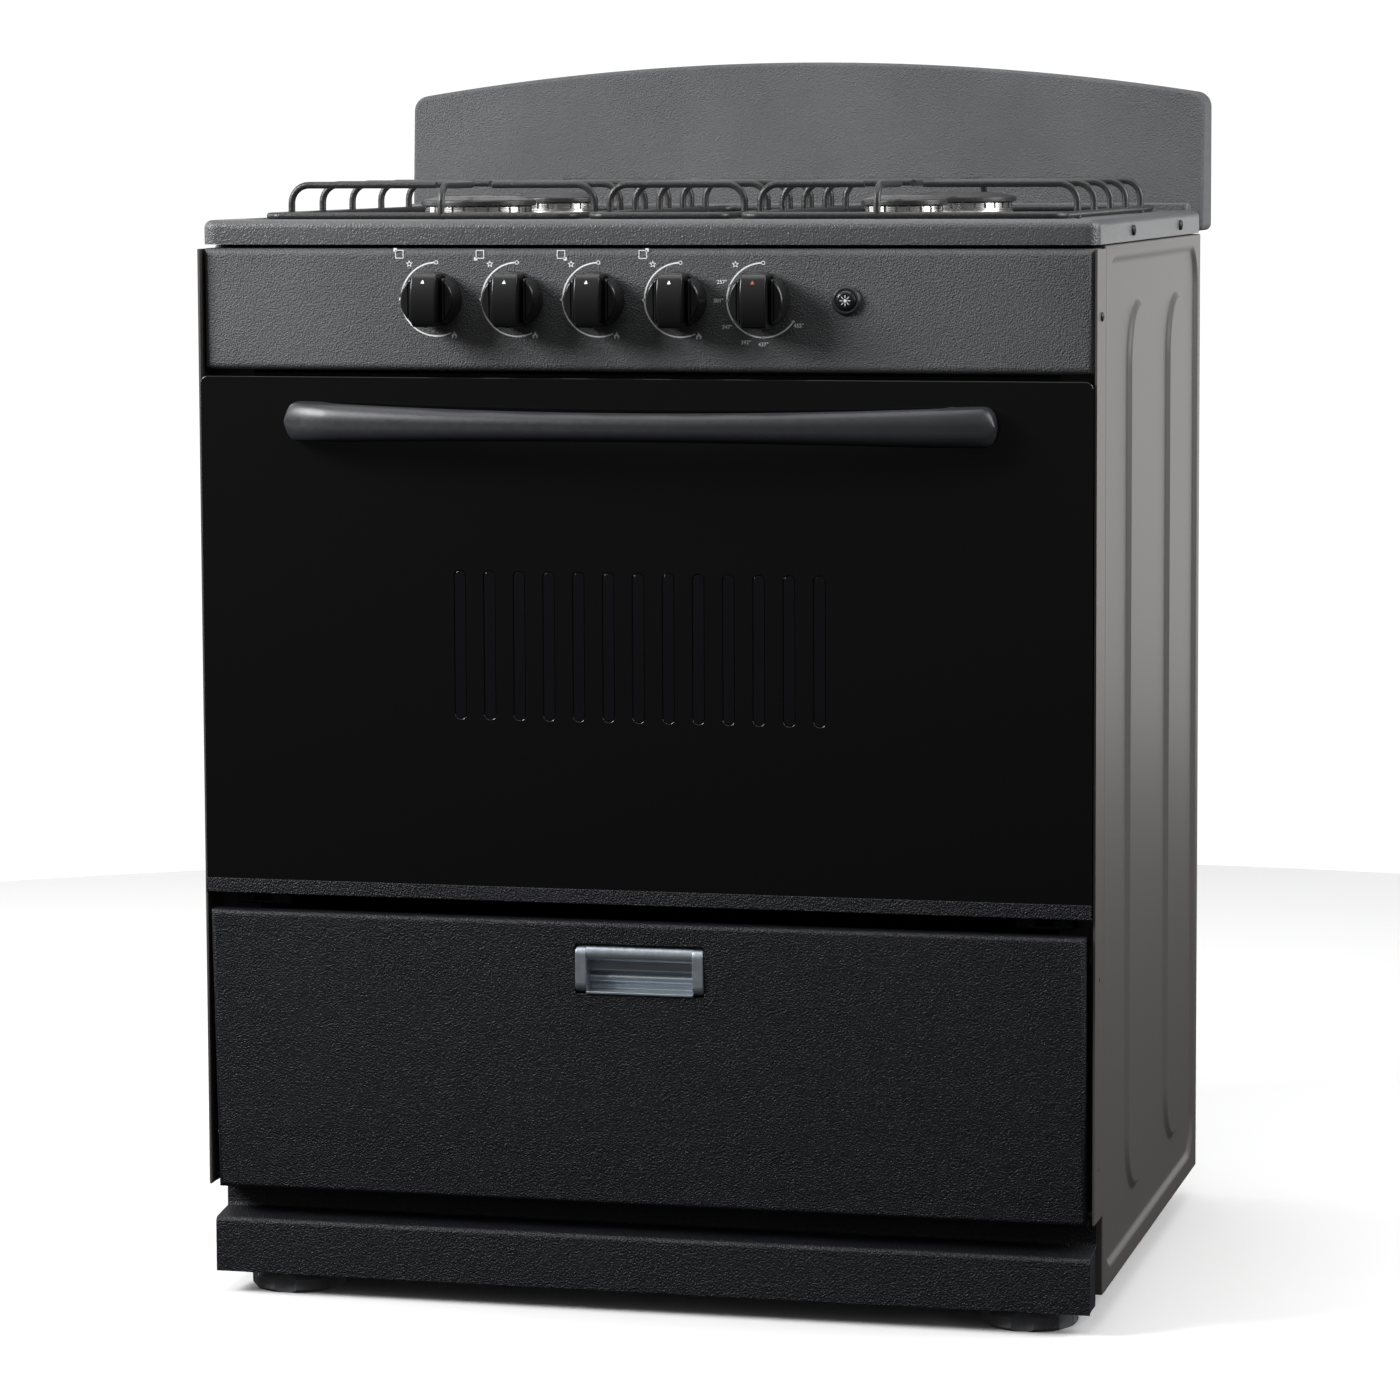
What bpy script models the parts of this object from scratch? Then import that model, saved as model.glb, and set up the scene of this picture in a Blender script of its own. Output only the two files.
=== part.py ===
"""Freestanding gas range with four burners, an oven and a drop-front storage compartment.

Metres, +Z up. The origin is on the floor, at the centre of the range's footprint. The front looks
along -Y, and the left side is at -X. Depths are given from the front edge of the front posts.
"""
import math

import bmesh
import bpy
from mathutils import Matrix, Vector

# ---------------------------------------------------------------- driving dimensions
WIDTH = 0.762                 # over the side panels
DEPTH = 0.715                 # front of the door handle to the back of the backguard
HANDLE_REACH = 0.050          # handle front ahead of the front posts
COOKTOP_TOP = 0.914           # rim of the cooktop above the floor
BACKGUARD_CORNER = 1.021      # height of the backguard's outer corners
BACKGUARD_CROWN = 1.052       # height of its arched middle

HALF = WIDTH / 2
FRONT = HANDLE_REACH - DEPTH / 2   # y of the front edge of the front posts
SHEET = 0.0012                # sheet steel
GAP = 0.0003                  # clearance between touching pieces
CHASSIS_BACK = 0.587          # depth of the side panels' rear edge
FLANGE_DEPTH = 0.0387         # depth of the chassis flange that the door closes against
PRESSING = 0.0024             # how far the field of a side panel is pressed in
RIBS = ((0.232, 0.060), (0.452, 0.055))   # depth and half width of a side panel's ribs

PANEL_Z = (0.789, 0.8905)      # control panel
PANEL_DEPTH = 0.006
CONTROL_Z = 0.8484            # axis height of the knobs
CONTROL_PITCH = 0.0696
KNOB_RADIUS = 0.0232
KNOB_TRAVEL_GAP = 0.0035      # room behind a knob for its push

DOOR_Z = (0.347, 0.784)
DOOR_HALF = 0.3784
GLASS_DEPTH = (-0.004, 0.0)
DOOR_BACK = 0.034
DOOR_AXIS = (0.010, 0.354)    # depth and height of the oven door's hinge
HANDLE_HALF = 0.3005
HANDLE_Z = 0.747

FLAP_Z = (0.092, 0.3328)
FLAP_HALF = 0.3741
FLAP_AXIS = (0.012, 0.101)    # depth and height of the storage flap's hinge
PULL_HALF = 0.055
PULL_Z = (0.272, 0.3145)

OVEN_HALF = 0.270
OVEN_Z = (0.362, 0.752)
OVEN_BACK = 0.530
RACK_Z = 0.500

BURNER_X = 0.187
BURNER_DEPTHS = {"front": 0.178, "rear": 0.434}
LARGE_BURNER = 0.046          # radius of a large burner's body
SMALL_BURNER = 0.033
SURFACE_Z = COOKTOP_TOP - 0.003   # recessed middle of the cooktop

WIRE = 0.0025                 # radius of the grates' wire
GRATE_FRAME_Z = COOKTOP_TOP + WIRE
GRATE_TOP_Z = 0.9425
GRATE_DEPTHS = (0.064, 0.548)
GRATE_BARS = [0.135 + 0.0855 * i for i in range(5)]
SIDE_GRATE = (0.0725, 0.342)
MIDDLE_GRATE = 0.0585

FOOT_X = 0.319
FOOT_DEPTHS = {"front": 0.052, "rear": 0.540}
FOOT_RADIUS = 0.040

CORNERS = {"rear_left": -1, "front_left": -1, "front_right": 1, "rear_right": 1}


def behind(depth):
    """World y of a depth measured back from the front edge of the posts."""
    return FRONT + depth


# ---------------------------------------------------------------- scene and materials
def empty_scene():
    for ob in list(bpy.data.objects):
        bpy.data.objects.remove(ob, do_unlink=True)
    for name in ("gas_range", "cutters"):
        collection = bpy.data.collections.new(name)
        bpy.context.scene.collection.children.link(collection)
    return bpy.data.collections["gas_range"], bpy.data.collections["cutters"]


PARTS, CUTTERS = empty_scene()


def material(name, colour, roughness, metallic=0.0, transmission=0.0):
    made = bpy.data.materials.new(name)
    made.use_nodes = True
    shader = made.node_tree.nodes["Principled BSDF"]
    shader.inputs["Base Color"].default_value = (*colour, 1.0)
    shader.inputs["Roughness"].default_value = roughness
    shader.inputs["Metallic"].default_value = metallic
    shader.inputs["Transmission Weight"].default_value = transmission
    made.diffuse_color = (*colour, 1.0)
    return made


TEXTURED_PAINT = material("textured_paint", (0.055, 0.055, 0.058), 0.45, 0.2)
SIDE_PAINT = material("side_paint", (0.105, 0.098, 0.094), 0.40, 0.2)
BLACK_GLASS = material("black_glass", (0.004, 0.004, 0.005), 0.04)
CLEAR_GLASS = material("clear_glass", (0.55, 0.58, 0.58), 0.03, 0.0, 0.8)
GLOSS_PLASTIC = material("gloss_plastic", (0.010, 0.010, 0.011), 0.14)
SATIN_PLASTIC = material("satin_plastic", (0.030, 0.030, 0.034), 0.42)
ALUMINIUM = material("aluminium", (0.72, 0.72, 0.71), 0.25, 1.0)
BRASS = material("brass", (0.62, 0.46, 0.22), 0.30, 1.0)
BLACK_ENAMEL = material("black_enamel", (0.012, 0.012, 0.013), 0.30)
OVEN_ENAMEL = material("oven_enamel", (0.030, 0.031, 0.036), 0.25)
ZINC_STEEL = material("zinc_steel", (0.52, 0.53, 0.54), 0.38, 0.9)
BRIGHT_WIRE = material("bright_wire", (0.62, 0.62, 0.62), 0.20, 1.0)
SEAL_CORD = material("seal_cord", (0.055, 0.055, 0.058), 0.85)


# ---------------------------------------------------------------- shaping helpers
def place(mesh, name, finish, location=(0, 0, 0)):
    """An object for a mesh: a part when it has a finish, otherwise an operand of a Boolean."""
    ob = bpy.data.objects.new(name, mesh)
    ob.location = location
    if finish is None:
        CUTTERS.objects.link(ob)
        ob.hide_render = True
        ob.display_type = "WIRE"
    else:
        PARTS.objects.link(ob)
        ob.data.materials.append(finish)
    return ob


def from_bmesh(bm, name, finish, location=(0, 0, 0)):
    mesh = bpy.data.meshes.new(name)
    bm.to_mesh(mesh)
    bm.free()
    return place(mesh, name, finish, location)


def bevel(ob, width, segments=1, angle=30):
    edge = ob.modifiers.new("rounded_edges", "BEVEL")
    edge.width = width
    edge.segments = segments
    edge.limit_method = "ANGLE"
    edge.angle_limit = math.radians(angle)
    return ob


def block(name, low, high, finish=None, edge=0.0, segments=1):
    """A box between two corners, on its own centre."""
    size = Vector(high) - Vector(low)
    bm = bmesh.new()
    bmesh.ops.create_cube(bm, size=1.0)
    bmesh.ops.scale(bm, vec=size, verts=bm.verts)
    ob = from_bmesh(bm, name, finish, (Vector(high) + Vector(low)) / 2)
    return bevel(ob, edge, segments) if edge else ob


AXIS_TURN = {
    "z": Matrix.Identity(4),
    "x": Matrix.Rotation(math.pi / 2, 4, "Y"),
    "-y": Matrix.Rotation(math.pi / 2, 4, "X"),
    "y": Matrix.Rotation(-math.pi / 2, 4, "X"),
}


def round_bar(name, start, radius, length, axis, finish=None, sides=16, tip=None):
    """A bar, or a cone when its tip differs, from a start point along an axis."""
    bm = bmesh.new()
    bmesh.ops.create_cone(bm, cap_ends=True, segments=sides, radius1=radius,
                          radius2=radius if tip is None else tip, depth=length)
    bmesh.ops.translate(bm, vec=(0, 0, length / 2), verts=bm.verts)
    bmesh.ops.transform(bm, matrix=AXIS_TURN[axis], verts=bm.verts)
    return from_bmesh(bm, name, finish, start)


def turned(name, profile, centre, axis, finish=None, steps=24):
    """A solid of revolution; the profile runs down its outer side, and a ring's ends on its start."""
    mesh = bpy.data.meshes.new(name)
    is_ring = profile[0] == profile[-1]
    points = [(radius, 0, height) for radius, height in (profile[:-1] if is_ring else profile)]
    edges = [(i, i + 1) for i in range(len(points) - 1)]
    if is_ring:
        edges.append((len(points) - 1, 0))
    mesh.from_pydata(points, edges, [])
    ob = place(mesh, name, finish, centre)
    ob.rotation_euler = AXIS_TURN[axis].to_euler()
    screw = ob.modifiers.new("turning", "SCREW")
    screw.steps = steps
    screw.render_steps = steps
    screw.use_merge_vertices = True
    screw.merge_threshold = 0.00001
    return ob


def mesh_of_curve(curve, name, finish, location=(0, 0, 0), turn=None):
    """A welded mesh of a curve, in an object of its own."""
    draft = bpy.data.objects.new(name + "_curve", curve)
    CUTTERS.objects.link(draft)
    bpy.context.view_layer.update()
    evaluated = draft.evaluated_get(bpy.context.evaluated_depsgraph_get())
    mesh = bpy.data.meshes.new_from_object(evaluated)
    bm = bmesh.new()
    bm.from_mesh(mesh)
    bmesh.ops.remove_doubles(bm, verts=bm.verts, dist=0.00001)
    if turn is not None:
        bmesh.ops.transform(bm, matrix=turn, verts=bm.verts)
    bmesh.ops.recalc_face_normals(bm, faces=bm.faces)
    bm.to_mesh(mesh)
    bm.free()
    mesh.name = name
    mesh.materials.clear()
    bpy.data.objects.remove(draft, do_unlink=True)
    return place(mesh, name, finish, location)


PRISM_TURN = {
    "x": Matrix(((0, 0, 1, 0), (1, 0, 0, 0), (0, 1, 0, 0), (0, 0, 0, 1))),
    "y": Matrix(((1, 0, 0, 0), (0, 0, -1, 0), (0, 1, 0, 0), (0, 0, 0, 1))),
    "z": Matrix.Identity(4),
}


def prism(name, outlines, axis, low, high, finish=None):
    """A flat outline, with any holes after it, made solid between two places on an axis.

    Outlines are (y, z) points for axis x, (x, z) for axis y and (x, y) for axis z.
    """
    curve = bpy.data.curves.new(name, "CURVE")
    curve.dimensions = "2D"
    curve.fill_mode = "BOTH"
    curve.extrude = (high - low) / 2
    for outline in outlines:
        spline = curve.splines.new("POLY")
        spline.points.add(len(outline) - 1)
        for point, (a, b) in zip(spline.points, outline):
            point.co = (a, b, 0, 1)
        spline.use_cyclic_u = True
    middle = (low + high) / 2
    location = {"x": (middle, 0, 0), "y": (0, middle, 0), "z": (0, 0, middle)}[axis]
    return mesh_of_curve(curve, name, finish, location, PRISM_TURN[axis])


def rod(name, points, radius, finish=None, closed=False, detail=1):
    """A round wire through the given points."""
    curve = bpy.data.curves.new(name, "CURVE")
    curve.dimensions = "3D"
    curve.bevel_depth = radius
    curve.bevel_resolution = detail
    curve.use_fill_caps = True
    spline = curve.splines.new("POLY")
    spline.points.add(len(points) - 1)
    for point, place_at in zip(spline.points, points):
        point.co = (*place_at, 1)
    spline.use_cyclic_u = closed
    return mesh_of_curve(curve, name, finish)


def rounded(corners, radius, steps, closed=False):
    """The path through some corners, each turned into a short arc of the given radius."""
    count = len(corners)
    path = []
    for i, corner in enumerate(corners):
        here = Vector(corner)
        if not closed and i in (0, count - 1):
            path.append(here)
            continue
        before = (Vector(corners[i - 1]) - here).normalized()
        after = (Vector(corners[(i + 1) % count]) - here).normalized()
        half = before.angle(after) / 2
        inward = (before + after).normalized()
        centre = here + inward * radius / math.sin(half)
        start = here + before * radius / math.tan(half) - centre
        end = here + after * radius / math.tan(half) - centre
        sweep = math.pi - 2 * half
        for k in range(steps + 1):
            near = math.sin(sweep * (1 - k / steps)) / math.sin(sweep)
            far = math.sin(sweep * k / steps) / math.sin(sweep)
            path.append(centre + start * near + end * far)
    return path


def rounded_rectangle(a, b, radius, steps=3):
    """Corner-rounded rectangle between the points a and b of a plane."""
    corners = [(a[0], a[1]), (b[0], a[1]), (b[0], b[1]), (a[0], b[1])]
    path = rounded([(*corner, 0) for corner in corners], radius, steps, closed=True)
    return [(point.x, point.y) for point in path]


def boolean(ob, operands, operation):
    step = ob.modifiers.new(operation.lower(), "BOOLEAN")
    step.operation = operation
    step.solver = "EXACT"
    if len(operands) == 1:
        step.object = operands[0]
        return ob
    group = bpy.data.collections.new(ob.name + "_" + operation.lower())
    CUTTERS.children.link(group)
    for operand in operands:
        CUTTERS.objects.unlink(operand)
        group.objects.link(operand)
    step.operand_type = "COLLECTION"
    step.collection = group
    return ob


def cut(ob, *cutters):
    return boolean(ob, cutters, "DIFFERENCE")


def fuse(ob, *additions):
    return boolean(ob, additions, "UNION")


def smooth(ob, angle=40):
    ob.data.shade_smooth()
    ob.data.set_sharp_from_angle(angle=math.radians(angle))
    return ob


def mover(name, location, *pieces):
    """An empty on a joint's axis that carries the pieces that move with it."""
    joint = bpy.data.objects.new(name, None)
    joint.empty_display_size = 0.03
    joint.location = location
    PARTS.objects.link(joint)
    bpy.context.view_layer.update()
    for piece in pieces:
        piece.parent = joint
        piece.matrix_parent_inverse = joint.matrix_world.inverted()
    return joint


# ---------------------------------------------------------------- chassis
def side_panel(side, sign):
    """A side sheet with turned-in edges; its field is pressed in round two long oval ribs."""
    name = side + "_side_panel"
    turn_in = 0.011
    low, high = (0.044, 0.027), (CHASSIS_BACK, 0.8925)
    x_out, x_in = sign * HALF, sign * (HALF - turn_in)
    xs = sorted((x_out, x_in))
    panel = block(name, (xs[0], behind(low[0]), low[1]), (xs[1], behind(high[0]), high[1]),
                  SIDE_PAINT, edge=0.0015)
    inner = sorted((sign * (HALF - SHEET), sign * (HALF - 2 * turn_in)))
    hollow = block(name + "_hollow", (inner[0], behind(low[0] + SHEET), low[1] + SHEET),
                   (inner[1], behind(high[0] - SHEET), high[1] - SHEET))
    cut(panel, hollow)
    pressings = []
    for margin, x_start, x_end in ((SHEET, SHEET / 2, SHEET + PRESSING),
                                   (0.0, -SHEET, PRESSING)):
        field = rounded_rectangle((behind(low[0] + 0.0085 - margin), low[1] + 0.014 - margin),
                                  (behind(high[0] - 0.016 + margin), high[1] - 0.010 + margin),
                                  0.038 + margin, 3)
        ribs = [rounded_rectangle((behind(depth - reach + margin), 0.080 + margin),
                                  (behind(depth + reach - margin), 0.842 - margin),
                                  (reach - margin) * 0.96, 5)
                for depth, reach in RIBS]
        xs = sorted((sign * (HALF - x_start), sign * (HALF - x_end)))
        pressings.append(prism(name + "_pressing", [field] + ribs, "x", xs[0], xs[1]))
    backing, recess = pressings
    fuse(panel, backing)
    cut(panel, recess)
    return panel


def front_post(side, sign):
    """The strip beside the door, with the flange that carries the oven front."""
    name = side + "_front_post"
    hem = 0.0018
    web, flange = HALF - SHEET, 0.345
    section = [(HALF, 0.0), (HALF, 0.0437), (web, 0.0437), (web, FLANGE_DEPTH + SHEET),
               (flange, FLANGE_DEPTH + SHEET), (flange, FLANGE_DEPTH), (web, FLANGE_DEPTH),
               (web, 0.006), (HALF - hem, 0.006), (HALF - hem, 0.0)]
    outline = [(sign * x, behind(depth)) for x, depth in section]
    post = prism(name, [outline], "z", 0.095, 0.8900, SIDE_PAINT)
    start = HALF - 2 * hem
    holes = [round_bar(name + "_hole", (sign * start if sign > 0 else -HALF - hem, behind(0.022), z),
                       0.002, 3 * hem, "x", sides=8) for z in (0.294, 0.1365)]
    return cut(post, *holes)


def rear_cover():
    """A shallow pan over the back, with the hole for the gas inlet."""
    low, high, reach = -0.376, 0.376, 0.0150
    back = CHASSIS_BACK + GAP
    cover = block("rear_cover", (low, behind(back), 0.110), (high, behind(back + reach), 0.891),
                  ZINC_STEEL, edge=0.003)
    hollow = block("rear_cover_hollow", (low + 0.004, behind(back - reach), 0.114),
                   (high - 0.004, behind(back + reach - SHEET), 0.887))
    inlet = round_bar("rear_cover_inlet", (0.330, behind(back), CONTROL_Z), 0.013, 0.03, "y")
    return cut(cover, hollow, inlet)


def base_pan():
    """Floor and walls of the storage compartment; it carries the feet."""
    half, floor, wall_top = 0.368, 0.0605, 0.335
    pan = block("base_pan", (-half, behind(0.0405), floor), (half, behind(0.583), wall_top),
                TEXTURED_PAINT)
    hollow = block("base_pan_hollow", (-half + SHEET, behind(0.02), floor + SHEET),
                   (half - SHEET, behind(0.583 - SHEET), wall_top + 0.02))
    return cut(pan, hollow)


def plinth():
    """The kick strip: a bent sheet that rises behind the foot of the flap."""
    sheet = 0.0015
    front, wall = 0.003, 0.0355
    bend_z, wall_z, top_z, foot_z = 0.0655, 0.0700, 0.0985, 0.019
    section = [(front, foot_z), (front + sheet, foot_z), (front + sheet, bend_z - sheet),
               (wall + sheet, wall_z - sheet), (wall + sheet, top_z), (wall, top_z),
               (wall, wall_z), (front, bend_z)]
    outline = [(behind(depth), z) for depth, z in section]
    strip = prism("plinth", [outline], "x", -0.377, 0.377, TEXTURED_PAINT)
    inset = 0.0006
    ends = [block("plinth_end", (x - sheet / 2, behind(front + inset), foot_z + inset),
                  (x + sheet / 2, behind(wall), bend_z - inset))
            for x in (-0.377 + sheet, 0.377 - sheet)]
    return fuse(strip, *ends)


def foot(name, x, depth):
    """A levelling foot: a scalloped disc on a threaded stem."""
    profile = [(0, 0.030), (0.018, 0.030), (0.024, 0.020), (0.037, 0.016), (FOOT_RADIUS, 0.010),
               (FOOT_RADIUS, 0.003), (0.037, 0.0), (0, 0.0)]
    disc = turned(name, profile, (x, behind(depth), 0), "z", GLOSS_PLASTIC, steps=18)
    scallops = [round_bar(name + "_scallop",
                          (x + 0.057 * math.cos(turn), behind(depth) + 0.057 * math.sin(turn), -0.01),
                          0.0205, 0.06, "z", sides=10)
                for turn in (math.pi / 6 + math.pi / 3 * i for i in range(6))]
    cut(disc, *scallops)
    stem = round_bar(name + "_stem", (x, behind(depth), 0.020), 0.005, 0.040, "z", sides=10)
    fuse(disc, stem)
    mover(name + "_axis", (x, behind(depth), 0), disc)
    return disc


# ---------------------------------------------------------------- oven
def oven_liner():
    """The cavity: an open-fronted box with a front flange and three pairs of rack ledges."""
    wall = 0.0015
    front = FLANGE_DEPTH + SHEET + GAP
    liner = block("oven_liner", (-OVEN_HALF, behind(front), OVEN_Z[0]),
                  (OVEN_HALF, behind(OVEN_BACK), OVEN_Z[1]), OVEN_ENAMEL)
    flange = block("oven_liner_flange", (-0.358, behind(front), 0.3505),
                   (0.358, behind(front + wall), 0.785))
    fuse(liner, flange)
    hollow = block("oven_liner_hollow", (-OVEN_HALF + wall, behind(0.02), OVEN_Z[0] + wall),
                   (OVEN_HALF - wall, behind(OVEN_BACK - wall), OVEN_Z[1] - wall))
    cut(liner, hollow)
    ledges = []
    for z in (RACK_Z - 0.075, RACK_Z - 0.0063, RACK_Z + 0.075):
        for x in (-OVEN_HALF + wall / 2, OVEN_HALF - wall / 2 - 0.009):
            ledges.append(block("oven_liner_ledge", (x, behind(0.07), z),
                                (x + 0.009, behind(OVEN_BACK - wall / 2), z + 0.003)))
    return fuse(liner, *ledges)


def oven_bottom_plate():
    """The plate over the oven burner, with a row of heat slots along each side."""
    top = OVEN_Z[0] + 0.030
    plate = block("oven_bottom_plate", (-0.262, behind(0.060), top - 0.0015),
                  (0.262, behind(0.515), top), OVEN_ENAMEL)
    slots = [block("heat_slot", (x - 0.006, behind(depth), top - 0.01),
                   (x + 0.006, behind(depth + 0.05), top + 0.01))
             for x in (-0.235, 0.235) for depth in (0.10, 0.20, 0.30, 0.40)]
    return cut(plate, *slots)


def oven_burner():
    """The tube burner under the bottom plate."""
    z = OVEN_Z[0] + 0.015
    path = rounded([(-0.10, behind(0.10), z), (-0.10, behind(0.44), z), (0.10, behind(0.44), z),
                    (0.10, behind(0.10), z)], 0.05, 4)
    return rod("oven_burner", path, 0.009, ZINC_STEEL, detail=2)


def oven_rack():
    """A chromed wire shelf on the middle ledges."""
    half, front, back, radius = 0.2625, 0.060, 0.505, 0.003
    corners = [(-half, behind(front), RACK_Z), (half, behind(front), RACK_Z),
               (half, behind(back), RACK_Z), (-half, behind(back), RACK_Z)]
    frame = rod("oven_rack", rounded(corners, 0.018, 2, closed=True), radius, BRIGHT_WIRE, closed=True)
    wires = [rod("rack_wire", [(x, behind(front), RACK_Z), (x, behind(back), RACK_Z)], 0.0018)
             for x in (0.052 * i - 0.208 for i in range(9))]
    fuse(frame, *wires)
    mover("oven_rack_slide", (0, behind(front), RACK_Z), frame)
    return frame


def oven_lamp():
    """The lamp on the rear wall: a socket with a domed glass."""
    profile = [(0, 0.030), (0.010, 0.028), (0.017, 0.020), (0.019, 0.010), (0.022, 0.008),
               (0.022, 0.0), (0, 0.0)]
    wall = OVEN_BACK - 0.0015 - GAP
    return smooth(turned("oven_lamp", profile, (0.170, behind(wall), 0.690), "-y", CLEAR_GLASS, 16))


def door_seal():
    """The heat seal round the oven's mouth."""
    radius = (FLANGE_DEPTH + SHEET - DOOR_BACK) / 2
    y = behind(DOOR_BACK + GAP + radius)
    corners = [(-0.285, y, 0.382), (0.285, y, 0.382), (0.285, y, 0.766), (-0.285, y, 0.766)]
    return rod("door_seal", rounded(corners, 0.03, 3, closed=True), radius, SEAL_CORD, closed=True)


def hinge_bracket(side, sign):
    """The bright receiver of a door hinge, fixed to the chassis flange under the door."""
    xs = sorted((sign * 0.3120, sign * 0.3600))
    bracket = block(side + "_hinge_bracket", (xs[0], behind(0.0200), 0.3345),
                    (xs[1], behind(FLANGE_DEPTH - GAP), 0.3467), ZINC_STEEL, edge=0.001)
    slot = block(side + "_hinge_slot", (xs[0] + 0.016, behind(0.010), 0.3375),
                 (xs[1] - 0.016, behind(0.030), 0.3500))
    return cut(bracket, slot)


# ---------------------------------------------------------------- oven door
def door_glass():
    outline = rounded_rectangle((-DOOR_HALF, DOOR_Z[0] + 0.002), (DOOR_HALF, DOOR_Z[1]), 0.006, 3)
    glass = prism("door_glass", [outline], "y", behind(GLASS_DEPTH[0]), behind(GLASS_DEPTH[1]),
                  BLACK_GLASS)
    return bevel(glass, 0.0008)


def door_frame():
    """The door's pan behind the glass, with the window opening and the hinge pins."""
    half, low, high, skin = 0.372, DOOR_Z[0] + 0.003, DOOR_Z[1] - 0.002, 0.0015
    front = GLASS_DEPTH[1] + GAP
    frame = block("door_frame", (-half, behind(front), low), (half, behind(DOOR_BACK), high),
                  TEXTURED_PAINT)
    hollow = block("door_frame_hollow", (-half + skin, behind(front - 0.02), low + skin),
                   (half - skin, behind(DOOR_BACK - skin), high - skin))
    window = block("door_frame_window", (-0.175, behind(0.0), 0.465), (0.175, behind(0.06), 0.665))
    cut(frame, hollow, window)
    pins = [round_bar("door_pin", (x, behind(DOOR_AXIS[0]), DOOR_AXIS[1]), 0.003, 0.008, "x", sides=10)
            for x in (-half - 0.0065, half - 0.0015)]
    return fuse(frame, *pins)


def door_window_glass():
    return block("door_window_glass", (-0.195, behind(0.0275), 0.450), (0.195, behind(0.0320), 0.680),
                 CLEAR_GLASS, edge=0.001)


def door_trim():
    """The metal strip that wraps the door's bottom edge and laps the glass."""
    sheet, lip_front = SHEET, GLASS_DEPTH[0] - GAP - SHEET
    bottom, lip_top = DOOR_Z[0], DOOR_Z[0] + 0.0125
    section = [(lip_front, bottom), (DOOR_BACK - 0.002, bottom), (DOOR_BACK - 0.002, bottom + sheet),
               (GLASS_DEPTH[0] - GAP, bottom + sheet), (GLASS_DEPTH[0] - GAP, lip_top),
               (lip_front, lip_top)]
    return prism("door_trim", [[(behind(depth), z) for depth, z in section]], "x", -DOOR_HALF,
                 DOOR_HALF, TEXTURED_PAINT)


def door_handle():
    """A bowed bar, waisted in the middle, whose ends turn in to the glass."""
    stations = [0.0, 0.06, 0.12, 0.17, 0.21, 0.24, 0.262, 0.278, 0.292, HANDLE_HALF]
    stations = [-x for x in reversed(stations[1:])] + stations
    seat = GLASS_DEPTH[0] - GAP
    thick = 0.014
    bm = bmesh.new()
    rings = []
    for x in stations:
        share = abs(x) / HANDLE_HALF
        bow = -HANDLE_REACH + 0.022 * share ** 2
        end = max(0.0, (abs(x) - 0.262) / (HANDLE_HALF - 0.262))
        front = bow + 0.010 * end ** 2
        back = seat if abs(x) > 0.270 else bow + thick
        top = HANDLE_Z + 0.0105 + 0.0070 * share ** 2 - 0.004 * end ** 3
        bottom = HANDLE_Z - 0.0130 - 0.0045 * share ** 2 + 0.004 * end ** 3
        chamfer = 0.0035
        section = [(front, bottom + chamfer), (front + chamfer, bottom), (back - 0.001, bottom),
                   (back, bottom + 0.001), (back, top - 0.001), (back - 0.001, top),
                   (front + chamfer, top), (front, top - chamfer)]
        rings.append([bm.verts.new((x, behind(depth), z)) for depth, z in section])
    for ring, following in zip(rings, rings[1:]):
        for i, vert in enumerate(ring):
            j = (i + 1) % len(ring)
            bm.faces.new((vert, ring[j], following[j], following[i]))
    bm.faces.new(list(reversed(rings[0])))
    bm.faces.new(rings[-1])
    bmesh.ops.recalc_face_normals(bm, faces=bm.faces)
    return smooth(from_bmesh(bm, "door_handle", SATIN_PLASTIC))


def oven_door():
    pieces = (door_glass(), door_frame(), door_window_glass(), door_trim(), door_handle())
    mover("oven_door_hinge", (0, behind(DOOR_AXIS[0]), DOOR_AXIS[1]), *pieces)


# ---------------------------------------------------------------- storage flap
def flap_front(z):
    """Depth of the flap's face at a height: it leans out towards its top."""
    share = (z - FLAP_Z[0]) / (FLAP_Z[1] - FLAP_Z[0])
    return 0.003 - 0.012 * share


def storage_flap():
    """A slanted pan with turned-in edges, the opening for its pull, and its hinge pins."""
    low, high, skin, reach = FLAP_Z[0], FLAP_Z[1], 0.0015, 0.018
    bend = 0.004
    section = [(flap_front(low) + reach, low), (flap_front(low) + bend, low),
               (flap_front(low), low + bend), (flap_front(high), high - bend),
               (flap_front(high) + bend, high), (flap_front(high) + reach, high),
               (flap_front(high) + reach, high - skin), (flap_front(high) + bend, high - skin),
               (flap_front(high) + skin, high - bend), (flap_front(low) + skin, low + bend),
               (flap_front(low) + bend, low + skin), (flap_front(low) + reach, low + skin)]
    flap = prism("storage_flap", [[(behind(depth), z) for depth, z in section]], "x", -FLAP_HALF,
                 FLAP_HALF, TEXTURED_PAINT)
    side = section[:6]
    ends = [prism("flap_end", [[(behind(depth), z) for depth, z in side]], "x", x, x + skin)
            for x in (-FLAP_HALF, FLAP_HALF - skin)]
    pins = [round_bar("flap_pin", (x, behind(FLAP_AXIS[0]), FLAP_AXIS[1]), 0.003, 0.005, "x", sides=10)
            for x in (-FLAP_HALF - 0.004, FLAP_HALF - 0.001)]
    fuse(flap, *ends, *pins)
    opening = block("flap_opening", (-PULL_HALF, behind(-0.05), PULL_Z[0]),
                    (PULL_HALF, behind(0.008), PULL_Z[1]))
    return cut(flap, opening)


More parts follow.
